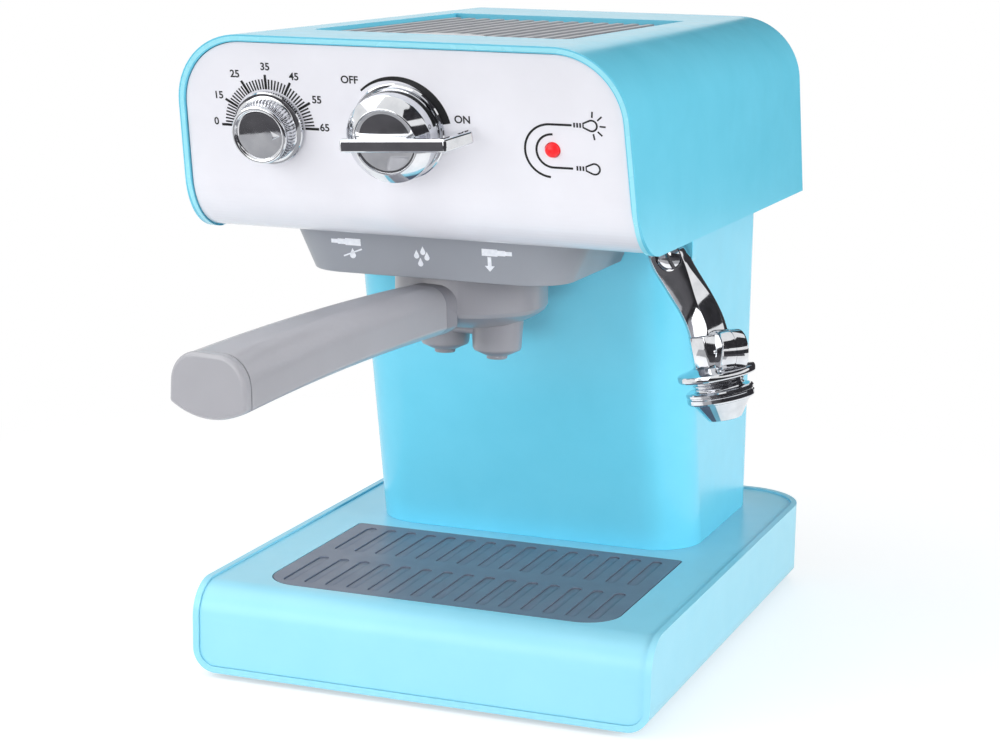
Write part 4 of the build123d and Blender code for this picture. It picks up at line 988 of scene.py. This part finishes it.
def switch_print():
    """OFF, ON and the arc that swells between them."""
    middle, radius, first, last, steps = (0.2, 0), 19.3, 133.5, 11.0, 40
    thin, swell, growth = 0.7, 3.2, 1.3
    off_spot, on_spot = (-16.8, 17.3), (23.6, 5.15)
    outer = arc(middle, radius, first, last, steps)
    inner = []
    for step, point in enumerate(outer):
        thick = thin + swell * (step / steps) ** growth
        inner.append(tuple(Vector(point) * (1 - thick / radius)))
    crescent = plate("crescent", outer + inner[::-1], 0, ink_thickness)
    return [crescent, letters("OFF", digit_height, off_spot), letters("ON", digit_height, on_spot)]


def bulb(spot, length):
    """Outline of a small bulb lying on its side, with three base bars."""
    x, up = spot
    radius, neck, start, turn = 1.85, 0.7, 3.1, 112
    half, pitch, line = 0.8, 1.05, 0.6
    parts = []
    for bar in (x, x + pitch, x + 2 * pitch):
        parts.append(stroke("bar", [(bar, up - half), (bar, up + half)], line))
    glass = [(x + start, up - neck), (x + start, up + neck)]
    glass += arc((x + length - radius, up), radius, turn, -turn, 20)
    parts.append(loop_stroke("glass", glass, line))
    return parts


def lamp_print():
    """Two bent lines round the lamp that end in a lit and an unlit bulb."""
    bulb_length, ray_start, ray_end, ray_line = 7.9, 2.8, 4.9, 0.55
    outer = [(62.4, 5.3)] + arc((54.7, -4.0), 9.25, 90, 266, 30)
    inner = arc((55.3, -4.0), 5.8, 88, 270, 24) + [(62.1, -9.8)]
    parts = [stroke("outer_line", outer, sign_line), stroke("inner_line", inner, sign_line)]
    parts += bulb((63.3, 5.4), bulb_length) + bulb((63.6, -9.6), bulb_length)
    lit_bulb = Vector((69.35, 5.4))
    for angle in (85, 42, -2, -43, -80):
        direction = Vector((cos(radians(angle)), sin(radians(angle))))
        ray = [lit_bulb + direction * ray_start, lit_bulb + direction * ray_end]
        parts.append(stroke("ray", ray, ray_line))
    return parts


panel_print = joined("panel_print", dial_print() + switch_print() + lamp_print())
make_piece("panel_print", "housing", panel_print, black_ink, panel_place)


# White signs on the skirt
def drop(spot, height):
    """Filled drop with its point upwards."""
    round_share = 0.3
    radius = height * round_share
    x, low = spot
    round_end = arc((x, low + radius), radius, 155, 385, 16)
    return plate("drop", round_end + [(x, low + height)], 0, ink_thickness)


def handle_sign(root, tip, up):
    """Side view of a portafilter handle that steps down from its root to its tip."""
    across = tip - root
    steps = [(0, 1.3), (0.52, 1.3), (0.52, 1.0), (0.78, 1.0), (0.78, 0.75), (1, 0.75)]
    top = [(root + across * share, up + half) for share, half in steps]
    low = [(root + across * share, up - half) for share, half in reversed(steps)]
    return plate("handle_sign", top + low, 0, ink_thickness)


def skirt_print():
    """Closed, pouring and removing signs."""
    small_drops = ((-4.8, 0.8), (-7.3, -0.7), (-3.3, -1.2), (-5.9, -3.6))
    parts = [handle_sign(root=-29.0, tip=-40.6, up=3.8), drop((-32.4, -2.4), height=3.9)]
    parts.append(stroke("slash", [(-36.0, -1.7), (-28.7, 1.3)], width=0.55))
    parts += [drop(spot, height=3.3) for spot in small_drops]
    parts.append(handle_sign(root=17.9, tip=29.3, up=3.5))
    arrow = [
        (20.0, 1.8), (21.4, 1.8), (21.4, -1.5), (22.6, -1.5), (20.7, -3.6), (18.8, -1.5),
        (20.0, -1.5),
    ]
    parts.append(plate("arrow", arrow, 0, ink_thickness))
    return joined("skirt_print", parts)


make_piece("skirt_print", "housing", skirt_print(), white_ink, skirt_place)


# Stage: floor, surround, lamps and camera
def stage_piece(name, points, faces, finish):
    """Piece of the studio that isn't part of the machine."""
    mesh = bpy.data.meshes.new(name)
    mesh.from_pydata([tuple(Vector(point) * MM) for point in points], [], faces)
    mesh.materials.append(finish.material)
    item = in_scene(name, mesh)
    return item


def seen_rays(nodes, links):
    """1 where a surface is seen, plainly, mirrored or through clear plastic, and 0 for its light."""
    path = nodes.new("ShaderNodeLightPath")
    seen = path.outputs["Is Camera Ray"]
    for kind in ("Is Glossy Ray", "Is Transmission Ray"):
        total = nodes.new("ShaderNodeMath")
        total.operation = "ADD"
        total.use_clamp = True
        links.new(seen, total.inputs[0])
        links.new(path.outputs[kind], total.inputs[1])
        seen = total.outputs["Value"]
    return seen


def stage_floor():
    """Pale floor that keeps the shadow and turns into the white background further out."""
    half, near, far, lift = 6000, 200, 440, 0.45
    finish = Finish("floor", rough=0.6)
    finish.paint(finish.noise(patch=400.0), colour(220, 220, 221), colour(224, 224, 225))
    nodes, links = finish.nodes, finish.links
    distance = nodes.new("ShaderNodeVectorMath")
    distance.operation = "LENGTH"
    links.new(finish.place, distance.inputs[0])
    fade = nodes.new("ShaderNodeMapRange")
    fade.interpolation_type = "SMOOTHSTEP"
    fade.inputs["From Min"].default_value = near * MM
    fade.inputs["From Max"].default_value = far * MM
    links.new(distance.outputs["Value"], fade.inputs["Value"])
    looked_at = seen_rays(nodes, links)
    seen = nodes.new("ShaderNodeMath")
    seen.operation = "MULTIPLY"
    links.new(looked_at, seen.inputs[0])
    links.new(fade.outputs["Result"], seen.inputs[1])
    white = nodes.new("ShaderNodeEmission")
    mix = nodes.new("ShaderNodeMixShader")
    links.new(seen.outputs["Value"], mix.inputs["Fac"])
    links.new(finish.shader.outputs["BSDF"], mix.inputs[1])
    links.new(white.outputs["Emission"], mix.inputs[2])
    links.new(mix.outputs["Shader"], nodes["Material Output"].inputs["Surface"])
    glow = nodes.new("ShaderNodeMath")
    glow.operation = "MULTIPLY"
    glow.inputs[1].default_value = lift
    links.new(looked_at, glow.inputs[0])
    finish.set("Emission Color", (1, 1, 1, 1))
    links.new(glow.outputs["Value"], finish.shader.inputs["Emission Strength"])
    corners = [(-half, -half, 0), (half, -half, 0), (half, half, 0), (-half, half, 0)]
    stage_piece("floor", corners, [(0, 1, 2, 3)], finish)


def card_ring(name, finish, inner, outer, low, high, first, last):
    """Part of a ring of card round the machine that only reflections show."""
    steps = 48
    start = arc((0, 0), inner, first, last, steps)
    end = arc((0, 0), outer, first, last, steps)
    points = [(x, y, low) for x, y in start] + [(x, y, high) for x, y in end]
    faces = [(step, step + 1, step + steps + 2, step + steps + 1) for step in range(steps)]
    card = stage_piece(name, points, faces, finish)
    card.visible_camera = False
    card.visible_diffuse = False
    card.visible_transmission = False
    card.visible_shadow = False


def card_finish(name, dark, light):
    """Dull card."""
    finish = Finish(name, rough=0.9)
    finish.paint(finish.noise(patch=200.0), dark, light)
    return finish


def card_room():
    """Dark floor and walls beyond a grey ring of floor, for the plated parts to mirror."""
    wall_foot, table_edge, room_edge = 1, 540, 1500
    dark = card_finish("dark_card", colour(44, 43, 47), colour(66, 64, 69))
    for name, inner, outer, high, first, last in (
        ("dark_floor", table_edge, room_edge, wall_foot, -130, -10),
        ("dark_floor_right", table_edge, room_edge, wall_foot, 20, 60),
        ("dark_wall", room_edge, room_edge, 420, -130, 60),
        ("rear_flag", 1400, 1400, 1500, 35, 100),
    ):
        card_ring(name, dark, inner, outer, wall_foot, high, first, last)
    card_ring("front_flag", dark, 1300, 1300, low=620, high=1150, first=-70, last=-38)
    card_ring("side_flag", dark, 1400, 1400, low=700, high=2600, first=-60, last=35)
    grey = card_finish("grey_card", colour(168, 168, 171), colour(182, 182, 185))
    card_ring("grey_floor", grey, 310, table_edge, wall_foot, wall_foot, first=-140, last=-40)


def sky():
    """White surround, dimmer as a light than as a background."""
    light_level, seen_level = 0.45, 1.0
    world = bpy.data.worlds.new("surround")
    bpy.context.scene.world = world
    world.use_nodes = True
    nodes = world.node_tree.nodes
    links = world.node_tree.links
    back = nodes["Background"]
    back.inputs["Color"].default_value = (1, 1, 1, 1)
    level = nodes.new("ShaderNodeMapRange")
    level.inputs["To Min"].default_value = light_level
    level.inputs["To Max"].default_value = seen_level
    links.new(seen_rays(nodes, links), level.inputs["Value"])
    links.new(level.outputs["Result"], back.inputs["Strength"])


def soft_lamp(name, spot, aim, width, height, power, spread=180):
    """Large soft lamp that faces a point, with its beam narrowed where spread is small."""
    light = bpy.data.lights.new(name, "AREA")
    light.shape = "RECTANGLE"
    light.size = width * MM
    light.size_y = height * MM
    light.energy = power
    light.spread = radians(spread)
    lamp = in_scene(name, light)
    lamp.location = Vector(spot) * MM
    lamp.rotation_euler = (Vector(aim) - Vector(spot)).to_track_quat("-Z", "Y").to_euler()
    return lamp


def photo_camera():
    """Camera at the photograph's viewing angle."""
    focal_length, sight = 84.67, 20000
    spot = Vector((317.27, -865.34, 291.39))
    turn, tilt, roll = radians(20.82), radians(78.375), radians(0.866)
    lens = bpy.data.cameras.new("camera")
    lens.lens = focal_length
    lens.sensor_fit = "HORIZONTAL"
    lens.clip_end = sight * MM
    camera = in_scene("camera", lens)
    camera.matrix_world = (
        Matrix.Translation(spot * MM)
        @ Matrix.Rotation(turn, 4, "Z")
        @ Matrix.Rotation(tilt, 4, "X")
        @ Matrix.Rotation(roll, 4, "Z")
    )
    bpy.context.scene.camera = camera


stage_floor()
card_room()
sky()
machine_middle = (0, 0, 120)
soft_lamp("key_lamp", (-500, -1000, 420), machine_middle, width=900, height=600, power=3.9)
soft_lamp("top_lamp", (-700, -300, 1000), machine_middle, width=900, height=900, power=4.5)
side_lamp = soft_lamp("side_lamp", (1300, -150, 480), machine_middle, width=900, height=460, power=11)
low_lamp = soft_lamp(
    "low_lamp", (120, -1050, 110), (20, 0, 60), width=800, height=160, power=0.255, spread=28
)
for lamp in (side_lamp, low_lamp):
    lamp.visible_glossy = False
photo_camera()
bpy.context.scene.view_settings.view_transform = "Standard"
